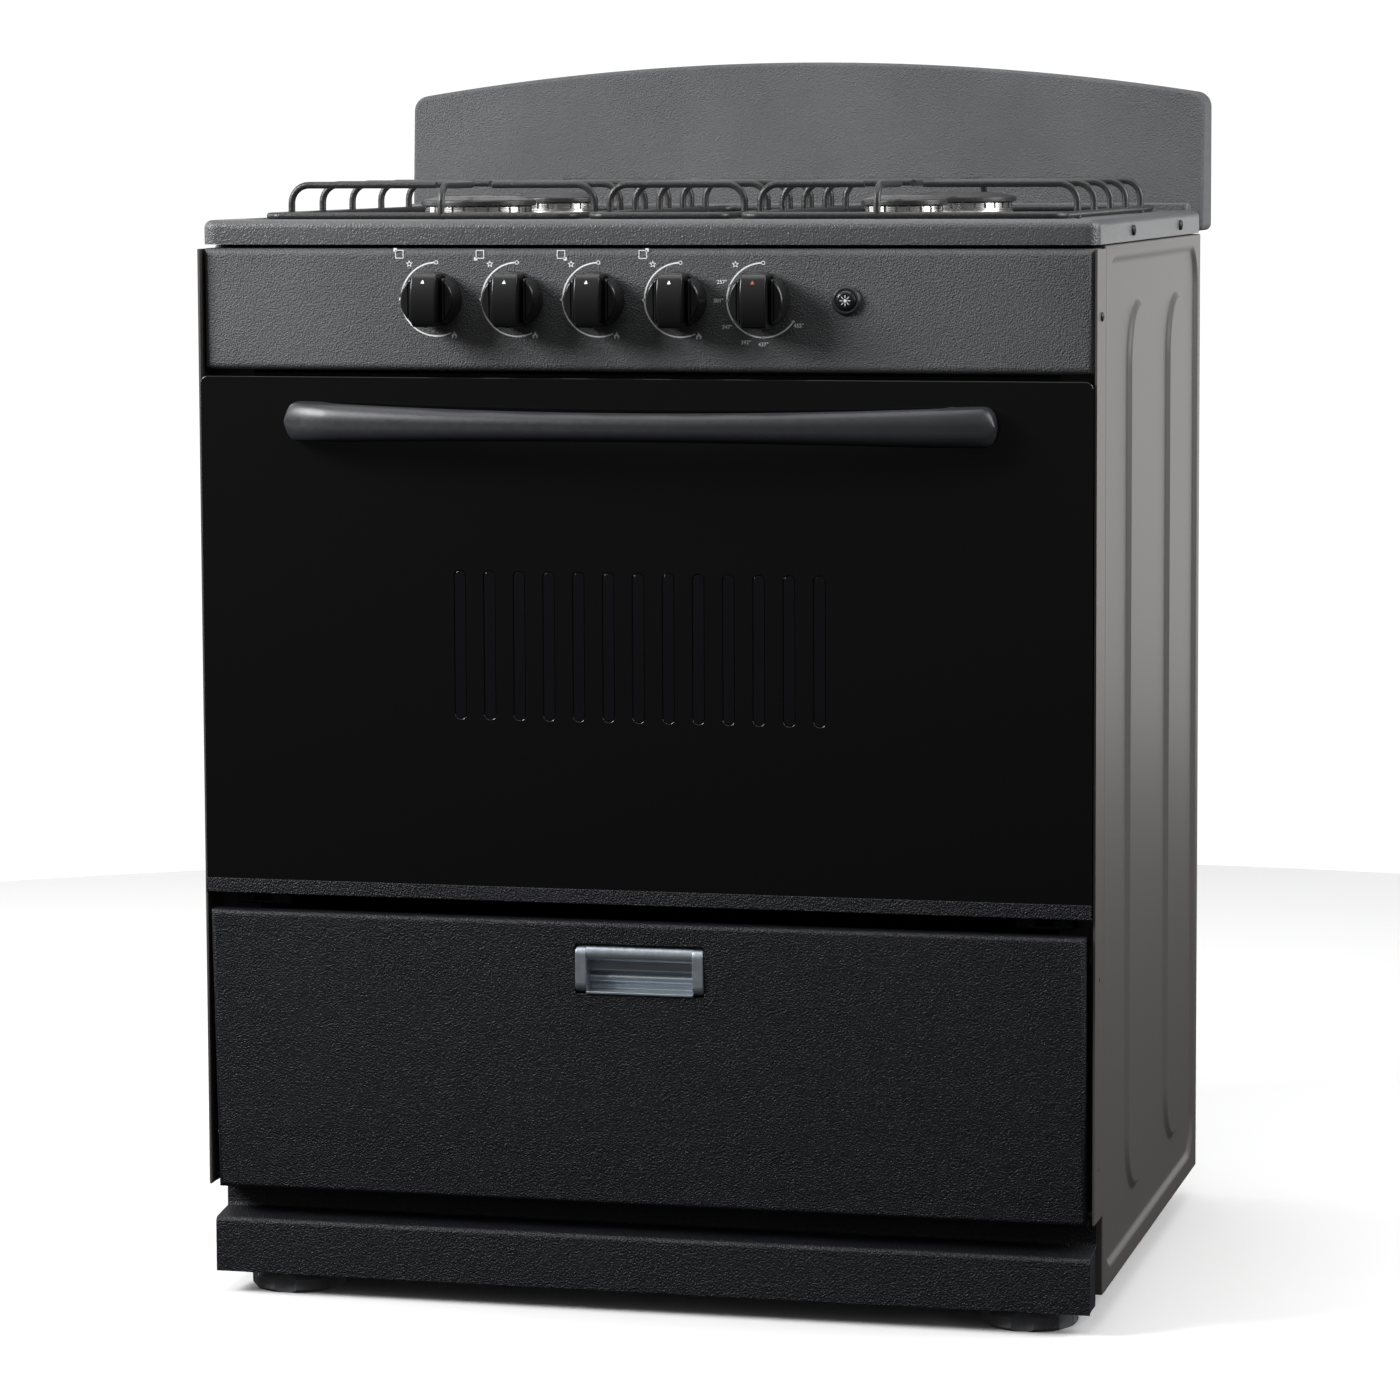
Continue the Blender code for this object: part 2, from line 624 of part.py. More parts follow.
def flap_pull():
    """The moulded cup set in the flap: a bar across its top to hook the fingers behind."""
    half, low, high = PULL_HALF - GAP, PULL_Z[0] + GAP, PULL_Z[1] - GAP
    front, floor = flap_front(high) - 0.0005, 0.0135
    cup = block("flap_pull", (-half, behind(front), low), (half, behind(floor), high), SATIN_PLASTIC,
                edge=0.0012)
    mouth = block("pull_mouth", (-half + 0.0096, behind(front - 0.01), low + 0.002),
                  (half - 0.0096, behind(floor - 0.002), high - 0.015))
    pocket = block("pull_pocket", (-half + 0.0096, behind(front + 0.0035), low + 0.003),
                   (half - 0.0096, behind(floor - 0.002), high - 0.003))
    return cut(cup, mouth, pocket)


def lower_flap():
    mover("storage_flap_hinge", (0, behind(FLAP_AXIS[0]), FLAP_AXIS[1]), storage_flap(), flap_pull())


# ---------------------------------------------------------------- cooktop
def burner_centres():
    """Every burner's name with its place and size."""
    for name, sign in CORNERS.items():
        row = name.split("_")[0]
        large = name in ("front_left", "rear_right")
        yield name, sign * BURNER_X, BURNER_DEPTHS[row], LARGE_BURNER if large else SMALL_BURNER


def cooktop():
    """A pressed pan with a raised rim, four burner holes and a low upstand at the back."""
    half, front, back = 0.3807, 0.008, 0.590
    skirt_z = 0.8935
    top = block("cooktop", (-half, behind(front), skirt_z), (half, behind(back), COOKTOP_TOP),
                TEXTURED_PAINT)
    rounding = bevel(top, 0.008, 3)
    rounding.modifiers[-1].limit_method = "WEIGHT"
    weights = top.data.attributes.new("bevel_weight_edge", "FLOAT", "EDGE")
    for edge in top.data.edges:
        ends = [top.data.vertices[i].co for i in edge.vertices]
        is_top = all(co.z > 0 for co in ends)
        is_upright = abs(ends[0].z - ends[1].z) > 0.001
        weights.data[edge.index].value = 1.0 if is_top or is_upright else 0.0
    upstand = block("cooktop_upstand", (-0.372, behind(0.575), COOKTOP_TOP - 0.004),
                    (0.372, behind(back), 0.921))
    fuse(top, upstand)
    under = block("cooktop_under", (-half + SHEET, behind(front + SHEET), skirt_z - 0.02),
                  (half - SHEET, behind(back - SHEET), SURFACE_Z - SHEET), edge=0.0068, segments=3)
    well = block("cooktop_well", (-0.357, behind(0.040), SURFACE_Z),
                 (0.357, behind(0.566), COOKTOP_TOP + 0.03))
    cut(top, under, well)
    holes = [round_bar("burner_hole", (x, behind(depth), SURFACE_Z - 0.02), radius - 0.012, 0.04, "z",
                       sides=20) for _, x, depth, radius in burner_centres()]
    return cut(top, *holes)


def burner_base(name, x, depth, radius):
    """An aluminium burner head with its ring of flame ports and its mixing throat."""
    seat = SURFACE_Z + GAP
    top = 0.9235
    profile = [(0, top - 0.003), (radius - 0.014, top - 0.003), (radius - 0.013, top),
               (radius, top), (radius + 0.0005, seat + 0.003), (radius + 0.003, seat),
               (radius - 0.013, seat), (radius - 0.013, seat - 0.022), (0, seat - 0.022)]
    base = turned("burner_base_" + name, profile, (x, behind(depth), 0), "z", ALUMINIUM)
    ports = 16 if radius > 0.04 else 12
    cutters = []
    for i in range(ports):
        slot = block("flame_port", (radius - 0.006, -0.0012, top - 0.006), (radius + 0.01, 0.0012, top + 0.01))
        turn = Matrix.Rotation(2 * math.pi * i / ports, 4, "Z")
        slot.matrix_world = Matrix.Translation((x, behind(depth), 0)) @ turn @ Matrix.Translation(slot.location)
        cutters.append(slot)
    return cut(base, *cutters)


def burner_cap(name, x, depth, radius):
    """The enamelled cap that rests on a burner, held by a boss under it."""
    seat = 0.9235 + GAP
    rim = radius + 0.0035
    crown = 0.0335 * radius / LARGE_BURNER
    profile = [(0, seat + 0.0085), (crown, seat + 0.008), (rim - 0.003, seat + 0.006), (rim, seat + 0.0035),
               (rim, seat), (radius - 0.0155, seat), (radius - 0.016, seat - 0.0025), (0, seat - 0.0025)]
    cap = smooth(turned("burner_cap_" + name, profile, (x, behind(depth), 0), "z", BLACK_ENAMEL, 20))
    mover("burner_cap_%s_lift" % name, (x, behind(depth), seat), cap)
    return cap


def grate_bar(ends, depth):
    """A bar across a grate, with a leg down to the frame at each end that lies on the frame."""
    (x_start, start_leg), (x_end, end_leg) = ends
    y = behind(depth)
    corners = [(x_start, y, GRATE_TOP_Z), (x_end, y, GRATE_TOP_Z)]
    if start_leg:
        corners.insert(0, (x_start, y, GRATE_FRAME_Z))
    if end_leg:
        corners.append((x_end, y, GRATE_FRAME_Z))
    return rod("grate_bar", rounded(corners, 0.015, 2), WIRE)


def grate_finger(x, depth_start, depth_end):
    """A finger from the front or rear frame wire up and in towards a burner."""
    corners = [(x, behind(depth_start), GRATE_FRAME_Z), (x, behind(depth_start), GRATE_TOP_Z),
               (x, behind(depth_end), GRATE_TOP_Z)]
    return rod("grate_finger", rounded(corners, 0.015, 2), WIRE)


def grate(name, x_low, x_high, burner_x=None):
    """A wire grate: a frame on four studs, five cross bars and, over burners, short fingers."""
    near, far = (behind(depth) for depth in GRATE_DEPTHS)
    corners = [(x_low, near, GRATE_FRAME_Z), (x_high, near, GRATE_FRAME_Z),
               (x_high, far, GRATE_FRAME_Z), (x_low, far, GRATE_FRAME_Z)]
    frame = rod(name, rounded(corners, 0.014, 2, closed=True), WIRE, BLACK_ENAMEL, closed=True)
    open_half = 0.025
    pieces = []
    for i, depth in enumerate(GRATE_BARS):
        if burner_x is None or i == 2:
            pieces.append(grate_bar(((x_low, True), (x_high, True)), depth))
        else:
            pieces.append(grate_bar(((x_low, True), (burner_x - open_half, False)), depth))
            pieces.append(grate_bar(((burner_x + open_half, False), (x_high, True)), depth))
    if burner_x is not None:
        pieces.append(grate_finger(burner_x, GRATE_DEPTHS[0], 0.155))
        pieces.append(grate_finger(burner_x, GRATE_DEPTHS[1], 0.460))
        pieces.append(rod("grate_spine", [(burner_x, behind(0.2175), GRATE_TOP_Z),
                                          (burner_x, behind(0.3985), GRATE_TOP_Z)], WIRE))
    stud_z = SURFACE_Z + GAP
    for x in (x_low, x_high):
        for depth in (GRATE_BARS[0], GRATE_BARS[-1]):
            pieces.append(round_bar("grate_stud", (x, behind(depth), stud_z), 0.0032,
                                    GRATE_FRAME_Z - stud_z, "z", sides=8))
    fuse(frame, *pieces)
    mover(name + "_lift", ((x_low + x_high) / 2, (near + far) / 2, stud_z), frame)
    return frame


# ---------------------------------------------------------------- controls and gas
def control_x(index):
    """Centre of the six controls, counted from the left."""
    return (index - 2.5) * CONTROL_PITCH


def control_panel():
    """A shallow pan, open at the back, with holes for the spindles and the light switch."""
    half = 0.378
    panel = block("control_panel", (-half, behind(PANEL_DEPTH), PANEL_Z[0]),
                  (half, behind(0.0382), PANEL_Z[1]), TEXTURED_PAINT)
    bevel(panel, 0.006, 2).modifiers[-1].limit_method = "WEIGHT"
    weights = panel.data.attributes.new("bevel_weight_edge", "FLOAT", "EDGE")
    for edge in panel.data.edges:
        ends = [panel.data.vertices[i].co for i in edge.vertices]
        at_front = all(co.y < 0 for co in ends)
        weights.data[edge.index].value = 1.0 if at_front else 0.0
    hollow = block("control_panel_hollow", (-half + 0.004, behind(PANEL_DEPTH + 0.0015), PANEL_Z[0] + 0.003),
                   (half - 0.004, behind(0.06), PANEL_Z[1] - 0.003))
    holes = [round_bar("spindle_hole", (control_x(i), behind(0.0), CONTROL_Z), 0.0060, 0.02, "y", sides=12)
             for i in range(5)]
    switch = round_bar("switch_hole", (control_x(5), behind(0.0), CONTROL_Z), 0.0105, 0.02, "y", sides=16)
    cut(panel, hollow)
    return cut(panel, *holes, switch)


def backguard():
    """An arched hollow board that leans back, on two tabs over the rear cover."""
    bottom, back, front, lean = 0.8945, DEPTH - HANDLE_REACH, 0.6100, 0.010
    half, skin = 0.3796, 0.0015

    def board(name, inset, near, far, floor, finish=None):
        side, corner = half - inset, 0.014
        arch = []
        for i in range(9):
            x = (side - corner) * (1 - i / 4)
            rise = (BACKGUARD_CROWN - BACKGUARD_CORNER) * (1 - (x / side) ** 2)
            arch.append((x, BACKGUARD_CORNER + rise - inset))
        edge_z = arch[0][1] - corner
        rounding = [(side - corner * (1 - math.cos(a)), edge_z + corner * math.sin(a))
                    for a in (0.0, math.pi / 6, math.pi / 3)]
        outline = [(side, floor)] + rounding + arch
        outline += [(-x, z) for x, z in reversed(rounding)] + [(-side, floor)]
        made = prism(name, [outline], "y", behind(near), behind(far), finish)
        middle = (behind(near) + behind(far)) / 2
        for vert in made.data.vertices:
            if vert.co.y + middle < behind(near) + 0.001:
                vert.co.y += lean * (vert.co.z - bottom) / (BACKGUARD_CROWN - bottom)
        return made

    guard = board("backguard", 0.0, front, back, bottom, TEXTURED_PAINT)
    hollow = board("backguard_hollow", skin, front + skin, back + 0.02, bottom - 0.02)
    tabs = []
    for x in (-0.24, 0.24):
        tabs.append(block("backguard_tab", (x - 0.03, behind(0.6030), 0.800),
                          (x + 0.03, behind(0.6045), 0.9085)))
        tabs.append(block("backguard_tab_bend", (x - 0.03, behind(0.6030), 0.9030),
                          (x + 0.03, behind(front + 0.0010), 0.9085)))
    fuse(guard, *tabs)
    return cut(guard, hollow)


def gas_manifold():
    """The gas pipe: along the valves, then back past the oven to the inlet behind the range."""
    y = behind(0.0625)
    path = rounded([(-0.205, y, CONTROL_Z), (0.330, y, CONTROL_Z), (0.330, behind(0.6400), CONTROL_Z)],
                   0.030, 4)
    pipe = rod("gas_manifold", path, 0.008, ZINC_STEEL, detail=2)
    nut = round_bar("inlet_nut", (0.330, behind(0.6150), CONTROL_Z), 0.0115, 0.014, "y", sides=6)
    return fuse(pipe, nut)


def gas_valve(name, index, length):
    """A valve body on the manifold, bored for its spindle."""
    x = control_x(index)
    body = block(name, (x - 0.011, behind(0.0290), CONTROL_Z - 0.013),
                 (x + 0.011, behind(0.0542), CONTROL_Z + 0.013 + length), BRASS, edge=0.0015)
    bore = round_bar(name + "_bore", (x, behind(0.020), CONTROL_Z), 0.0044, 0.025, "y", sides=12)
    return cut(body, bore)


def spindle(name, index):
    """A valve's shaft: it is pushed in against its spring before the knob turns."""
    x = control_x(index)
    start, end = -0.0130, 0.0400
    shaft = round_bar(name, (x, behind(start), CONTROL_Z), 0.0038, end - start, "y", ZINC_STEEL, sides=12)
    collar = round_bar(name + "_collar", (x, behind(0.0130), CONTROL_Z), 0.0062, 0.0030, "y", sides=12)
    fuse(shaft, collar)
    mover(name + "_push", (x, behind(start), CONTROL_Z), shaft)
    return shaft


def knob(name, index):
    """A deep drum with an arched grip across its face and a groove along each side of the grip."""
    x = control_x(index)
    back = PANEL_DEPTH - KNOB_TRAVEL_GAP
    depth, drum, grip_half = 0.0380, 0.0265, 0.0106
    profile = [(0, drum), (0.0212, drum), (0.0226, drum - 0.0014), (KNOB_RADIUS, 0.004),
               (KNOB_RADIUS, 0.0), (0, 0.0)]
    body = turned(name, profile, (x, behind(back), CONTROL_Z), "-y", GLOSS_PLASTIC, steps=24)
    reach = KNOB_RADIUS - 0.0012
    arch = [(behind(back - 0.002), CONTROL_Z + reach), (behind(back - 0.002), CONTROL_Z - reach)]
    for i in range(7):
        turn = math.pi * (i / 6 - 0.5)
        arch.append((behind(back - depth + 0.0080 * (1 - math.cos(turn))), CONTROL_Z + reach * math.sin(turn)))
    grip = prism(name + "_grip", [arch], "x", x - grip_half, x + grip_half)
    fuse(body, grip)
    grooves = [block(name + "_groove", (edge - 0.0016, behind(back - depth - 0.01), CONTROL_Z - 0.03),
                     (edge + 0.0016, behind(back - 0.0125), CONTROL_Z + 0.03))
               for edge in (x - grip_half - 0.0014, x + grip_half + 0.0014)]
    bore = round_bar(name + "_bore", (x, behind(back - 0.0175), CONTROL_Z), 0.0042, 0.03, "y", sides=12)
    cut(body, *grooves, bore)
    mover(name + "_turn", (x, behind(back), CONTROL_Z), body)
    return body


def light_switch():
    """The oven light's push button in its bezel."""
    x = control_x(5)
    profile = [(0.0088, 0.0038), (0.0105, 0.0040), (0.0122, 0.0016), (0.0122, GAP), (0.0101, GAP),
               (0.0101, -0.014), (0.0088, -0.014), (0.0088, 0.0038)]
    bezel = turned("light_bezel", profile, (x, behind(PANEL_DEPTH), CONTROL_Z), "-y", SATIN_PLASTIC, 20)
    cap = [(0, 0.0062), (0.0070, 0.0060), (0.0084, 0.0046), (0.0084, -0.0120), (0, -0.0120)]
    button = smooth(turned("light_button", cap, (x, behind(PANEL_DEPTH), CONTROL_Z), "-y",
                           GLOSS_PLASTIC, 20))
    mover("light_button_push", (x, behind(PANEL_DEPTH), CONTROL_Z), button)
    return bezel, button


# ---------------------------------------------------------------- the whole range
def build():
    for side, sign in (("left", -1), ("right", 1)):
        side_panel(side, sign)
        front_post(side, sign)
        hinge_bracket(side, sign)
    rear_cover()
    base_pan()
    plinth()
    for row, depth in FOOT_DEPTHS.items():
        foot("foot_%s_left" % row, -FOOT_X, depth)
        foot("foot_%s_right" % row, FOOT_X, depth)
    oven_liner()
    oven_bottom_plate()
    oven_burner()
    oven_rack()
    oven_lamp()
    door_seal()
    oven_door()
    lower_flap()
    cooktop()
    for name, x, depth, radius in burner_centres():
        burner_base(name, x, depth, radius)
        burner_cap(name, x, depth, radius)
    grate("grate_left", -SIDE_GRATE[1], -SIDE_GRATE[0], -BURNER_X)
    grate("grate_middle", -MIDDLE_GRATE, MIDDLE_GRATE)
    grate("grate_right", SIDE_GRATE[0], SIDE_GRATE[1], BURNER_X)
    control_panel()
    backguard()
    gas_manifold()
    for index, name in enumerate(CORNERS):
        gas_valve("valve_" + name, index, 0.0)
        spindle("spindle_" + name, index)
        knob("knob_" + name, index)
    gas_valve("oven_thermostat", 4, 0.010)
    spindle("spindle_oven", 4)
    knob("knob_oven", 4)
    light_switch()


build()
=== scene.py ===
"""Looks of a freestanding gas range: its finished pieces, their finishes, the stage and the camera."""
import math

import bmesh
import bpy
from bpy.props import FloatProperty, FloatVectorProperty, IntProperty, PointerProperty
from bpy.types import Operator, Panel, PropertyGroup
from mathutils import Matrix, Vector


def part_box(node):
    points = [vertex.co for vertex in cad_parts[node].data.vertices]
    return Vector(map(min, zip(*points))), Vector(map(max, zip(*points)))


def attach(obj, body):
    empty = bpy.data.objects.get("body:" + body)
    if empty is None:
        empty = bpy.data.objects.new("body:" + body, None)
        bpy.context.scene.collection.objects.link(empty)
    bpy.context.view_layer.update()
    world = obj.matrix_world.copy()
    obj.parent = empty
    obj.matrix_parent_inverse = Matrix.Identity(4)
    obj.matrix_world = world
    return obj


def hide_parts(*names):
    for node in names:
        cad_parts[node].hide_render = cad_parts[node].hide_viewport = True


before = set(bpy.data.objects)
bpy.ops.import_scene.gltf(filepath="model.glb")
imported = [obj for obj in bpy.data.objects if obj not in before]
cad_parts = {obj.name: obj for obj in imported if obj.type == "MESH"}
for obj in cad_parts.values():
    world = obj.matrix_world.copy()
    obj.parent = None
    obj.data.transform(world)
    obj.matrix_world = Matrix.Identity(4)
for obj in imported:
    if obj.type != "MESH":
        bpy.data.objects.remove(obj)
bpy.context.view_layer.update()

bl_info = {
    "name": "Gas range",
    "version": (1, 0, 0),
    "blender": (4, 5, 0),
    "location": "View3D > Sidebar > Gas range",
    "description": "Builds the finished pieces of a freestanding gas range round its frame",
    "category": "Add Mesh",
}

SIDES = (("left", -1), ("right", 1))
BURNERS = ("rear_left", "front_left", "front_right", "rear_right")
GRATES = ("left", "middle", "right")
FEET = ("front_left", "front_right", "rear_left", "rear_right")
HALF_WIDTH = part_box("right_side_panel")[1].x
QUARTER = math.pi / 2
FACING = {"z": (0, 0, 0), "-y": (QUARTER, 0, 0), "y": (-QUARTER, 0, 0), "x": (0, QUARTER, 0),
          "-x": (0, -QUARTER, 0)}
DOUBLES = 0.000005               # vertices closer than this are one


# ---------------------------------------------------------------- sizes and colours
def length(name, description, default):
    return FloatProperty(name=name, description=description, default=default, unit="LENGTH",
                         precision=4)


def colour(name, description, default):
    return FloatVectorProperty(name=name, description=description, default=default, size=3,
                               subtype="COLOR", min=0.0, max=1.0)


class ShellSizes(PropertyGroup):
    """Sizes of the pressed and folded sheets."""
    sheet: length("Sheet", "Thickness of the sheet steel", 0.0012)
    field_depth: length("Field depth", "How far the side's field is pressed in", 0.0034)
    field_border: length("Field border", "Flat border round the side's field", 0.0085)
    field_corner: length("Field corner", "Corner radius of the side's field", 0.038)
    press_slope: length("Press slope", "Width of the slope round a pressed shape", 0.0085)
    rib_half: length("Rib half width", "Half the width of a side's long rib", 0.0570)
    rib_low: length("Rib foot", "Height of the ribs' lower ends", 0.078)
    rib_high: length("Rib head", "Height of the ribs' upper ends", 0.845)
    panel_edge: length("Panel edge", "Rounding of the control panel's edges", 0.0062)
    lip_edge: length("Lip edge", "Rounding of the cooktop's front lip", 0.0070)
    guard_edge: length("Backguard edge", "Rounding of the backguard's outline", 0.0038)


class DoorSizes(PropertyGroup):
    """Sizes of the oven door and the storage flap."""
    glass_corner: length("Glass corner", "Corner radius of the door glass", 0.0060)
    glass_polish: length("Glass polish", "Width of the polished edge of the glass", 0.0009)
    slot_pitch: length("Slot pitch", "Distance between the window's slots", 0.0255)
    slot_width: length("Slot width", "Width of a window slot", 0.0100)
    slot_low: length("Slot foot", "Height of the slots' lower ends", 0.4995)
    slot_high: length("Slot head", "Height of the slots' upper ends", 0.6235)
    slot_count: IntProperty(name="Slots", description="Number of slots in the window", default=13)
    handle_edge: length("Handle edge", "Rounding along the handle", 0.0098)
    flap_edge: length("Flap edge", "Rounding of the flap's bent edges", 0.0045)


class ControlSizes(PropertyGroup):
    """Sizes of the knobs, the light switch and the printed marks."""
    grip_half: length("Grip half width", "Half the width of a knob's grip", 0.0106)
    groove: length("Groove", "Width of the groove along each side of a grip", 0.0032)
    arc_radius: length("Arc radius", "Radius of the arc printed round a knob", 0.0305)
    ink: length("Ink", "Thickness of the printed marks", 0.00015)
    figure: length("Figure height", "Height of the printed figures", 0.0046)


class HobSizes(PropertyGroup):
    """Sizes of the grates and burners."""
    wire: length("Wire", "Radius of the grate wire", 0.0030)
    bend: length("Bend", "Bend radius of the grate's legs", 0.0155)
    port_width: length("Port width", "Width of a flame port", 0.0022)


class Colours(PropertyGroup):
    """Base colours of the finishes."""
    graphite: colour("Graphite", "Textured paint of the front and the cooktop", (0.078, 0.080, 0.084))
    # Painted shade: the flap colour is the graphite paint made far darker, standing in for the shade and dark
    # reflections low on the front; the plinth, door trim, base pan and hinge brackets share it.
    flap: colour("Flap", "Textured paint of the flap and plinth", (0.0040, 0.0045, 0.0075))
    side: colour("Side", "Smooth paint of the sides", (0.125, 0.117, 0.108))
    black_glass: colour("Black glass", "Printed door glass", (0.0018, 0.0018, 0.0028))
    # Painted sheen: this black is lighter than the plastic's own, standing in for reflections the knobs and
    # button lack.
    gloss_black_and_sheen: colour("Gloss black", "Knobs and buttons", (0.030, 0.030, 0.034))
    handle: colour("Handle", "Satin moulding of the door handle", (0.028, 0.029, 0.033))
    pull: colour("Pull", "Metallic satin moulding of the flap's pull", (0.46, 0.51, 0.56))
    enamel: colour("Enamel", "Black enamel of the grates and caps", (0.020, 0.020, 0.021))
    aluminium: colour("Aluminium", "Cast burner heads", (0.72, 0.71, 0.69))
    ink: colour("Ink", "Printed marks", (0.93, 0.94, 0.95))
    floor: colour("Floor", "Studio floor", (0.86, 0.86, 0.86))


GROUPS = {"range_shell": ShellSizes, "range_door": DoorSizes, "range_controls": ControlSizes,
          "range_hob": HobSizes, "range_colours": Colours}


def sizes(group):
    return getattr(bpy.context.scene, group)


# ---------------------------------------------------------------- finishes
class Finish:
    """A material under construction: a Principled shader and helpers that feed it."""

    def __init__(self, name, base, roughness, metallic=0.0, specular=0.5):
        self.material = bpy.data.materials.new(name)
        self.material.use_nodes = True
        self.tree = self.material.node_tree
        self.shader = self.tree.nodes["Principled BSDF"]
        self.base = tuple(base)
        self.put("Base Color", (*base, 1.0))
        self.put("Roughness", roughness)
        self.put("Metallic", metallic)
        self.put("Specular IOR Level", specular)
        self.material.diffuse_color = (*base, 1.0)
        self.place = self.add("ShaderNodeTexCoord").outputs["Object"]
        self.relief = None

    def add(self, kind, links=(), **settings):
        made = self.tree.nodes.new(kind)
        for name, value in settings.items():
            if hasattr(made, name):
                setattr(made, name, value)
            else:
                made.inputs[name.replace("_", " ").title()].default_value = value
        for socket, source in dict(links).items():
            self.tree.links.new(source, made.inputs[socket])
        return made

    def put(self, socket, value):
        self.shader.inputs[socket].default_value = value

    def stretched(self, scale):
        return self.add("ShaderNodeMapping", {"Vector": self.place}, Scale=scale).outputs["Vector"]

    def noise(self, scale, detail=3.0, roughness=0.5, stretch=None):
        source = self.place if stretch is None else self.stretched(stretch)
        return self.add("ShaderNodeTexNoise", {"Vector": source}, Scale=scale, Detail=detail,
                        Roughness=roughness).outputs["Fac"]

    def cells(self, scale, feature="SMOOTH_F1"):
        return self.add("ShaderNodeTexVoronoi", {"Vector": self.place}, feature=feature,
                        Scale=scale).outputs["Distance"]

    def ramp(self, source, stops):
        made = self.add("ShaderNodeValToRGB", {"Fac": source})
        line = made.color_ramp
        while len(line.elements) < len(stops):
            line.elements.new(0.5)
        for element, (at, value) in zip(line.elements, stops):
            element.position = at
            element.color = (*value, 1.0) if isinstance(value, tuple) else (value, value, value, 1.0)
        return made.outputs["Color"]

    def tint(self, source, dark=0.85, light=1.15, low=0.35, high=0.65):
        """Colour variation about the base, from dark to light shares of it."""
        stops = [(low, tuple(c * dark for c in self.base)), (high, tuple(c * light for c in self.base))]
        self.tree.links.new(self.ramp(source, stops), self.shader.inputs["Base Color"])

    def mottle(self, source, low, high):
        """Roughness between two values."""
        made = self.add("ShaderNodeMapRange", {"Value": source})
        made.inputs["From Min"].default_value = 0.3
        made.inputs["From Max"].default_value = 0.7
        made.inputs["To Min"].default_value = low
        made.inputs["To Max"].default_value = high
        self.tree.links.new(made.outputs["Result"], self.shader.inputs["Roughness"])

    def bump(self, source, distance, strength=1.0):
        """Relief of a given height; a second call adds to the first."""
        links = {"Height": source}
        if self.relief is not None:
            links["Normal"] = self.relief
        made = self.add("ShaderNodeBump", links)
        made.inputs["Strength"].default_value = strength
        made.inputs["Distance"].default_value = distance
        self.relief = made.outputs["Normal"]
        self.tree.links.new(self.relief, self.shader.inputs["Normal"])


def textured_paint(name, base, roughness, grain, depth, specular=0.5):
    """Powder coat with an orange-peel skin of rounded grains."""
    made = Finish(name, base, roughness, specular=specular)
    made.tint(made.noise(9.0, 4.0), 0.90, 1.10)
    made.mottle(made.noise(grain * 1.7, 2.0), roughness - 0.05, roughness + 0.07)
    made.bump(made.noise(grain, 2.0, 0.45), depth)
    made.bump(made.cells(grain * 0.9), depth * 0.6, 0.7)
    return made


def side_paint():
    """Smooth paint on the big sheets, with faint waves and dust nibs."""
    made = Finish("side_paint", sizes("range_colours").side, 0.36, specular=0.55)
    made.tint(made.noise(3.5, 5.0), 0.94, 1.06)
    made.mottle(made.noise(60.0, 3.0), 0.33, 0.41)
    made.bump(made.noise(620.0, 2.0), 0.00008)
    made.bump(made.noise(7.0, 2.0), 0.0012, 0.35)
    return made


def printed_glass():
    """Black printed glass: a polished skin with a trace of wiping."""
    made = Finish("black_glass", sizes("range_colours").black_glass, 0.045, specular=0.5)
    made.mottle(made.noise(5.0, 5.0, 0.6, (1.0, 1.0, 3.0)), 0.035, 0.075)
    made.tint(made.noise(2.0), 0.8, 1.2)
    made.bump(made.noise(3.0, 1.0), 0.0006, 0.15)
    return made


def clear_glass():
    made = Finish("clear_glass", (0.80, 0.84, 0.83), 0.03, specular=0.5)
    made.put("Transmission Weight", 1.0)
    made.put("IOR", 1.5)
    made.mottle(made.noise(14.0, 3.0), 0.02, 0.06)
    return made


def smoked_glass():
    """Tinted panes that show the oven behind them only faintly."""
    made = Finish("smoked_glass", (0.012, 0.012, 0.015), 0.05, specular=0.5)
    made.put("Transmission Weight", 0.6)
    made.put("IOR", 1.5)
    made.mottle(made.noise(14.0, 3.0), 0.04, 0.08)
    return made


def gloss_plastic():
    # Painted sheen: the base colour is a lightened black, standing in for missing reflections.
    made = Finish("gloss_plastic", sizes("range_colours").gloss_black_and_sheen, 0.22, specular=0.5)
    made.mottle(made.noise(160.0, 3.0), 0.18, 0.27)
    made.tint(made.noise(25.0, 3.0), 0.8, 1.2)
    made.bump(made.noise(900.0, 2.0), 0.00003, 0.6)
    return made


def satin_plastic(name, base, roughness, metallic=0.0):
    made = Finish(name, base, roughness, metallic)
    made.mottle(made.noise(240.0, 3.0), roughness - 0.05, roughness + 0.06)
    made.tint(made.noise(90.0, 3.0), 0.96, 1.04)
    made.bump(made.noise(1500.0, 2.0), 0.00005, 0.7)
    return made


def speckled_enamel(name, base, roughness, relief):
    """Vitreous enamel with pale flecks and a lumpy skin."""
    made = Finish(name, base, roughness, specular=0.5)
    fleck = made.ramp(made.cells(520.0, "F1"), [(0.085, (0.20, 0.20, 0.205)), (0.125, made.base)])
    made.tree.links.new(fleck, made.shader.inputs["Base Color"])
    made.mottle(made.noise(300.0, 3.0), roughness - 0.06, roughness + 0.08)
    made.bump(made.noise(430.0, 3.0, 0.6), relief)
    return made


def cast_aluminium():
    """Machined and polished casting, with fine turning lines."""
    made = Finish("cast_aluminium", sizes("range_colours").aluminium, 0.22, 1.0)
    made.mottle(made.noise(30.0, 4.0, 0.6, (1.0, 1.0, 40.0)), 0.14, 0.34)
    made.tint(made.noise(60.0, 4.0), 0.86, 1.06)
    made.bump(made.noise(400.0, 2.0, 0.5, (0.2, 0.2, 6.0)), 0.00004)
    return made


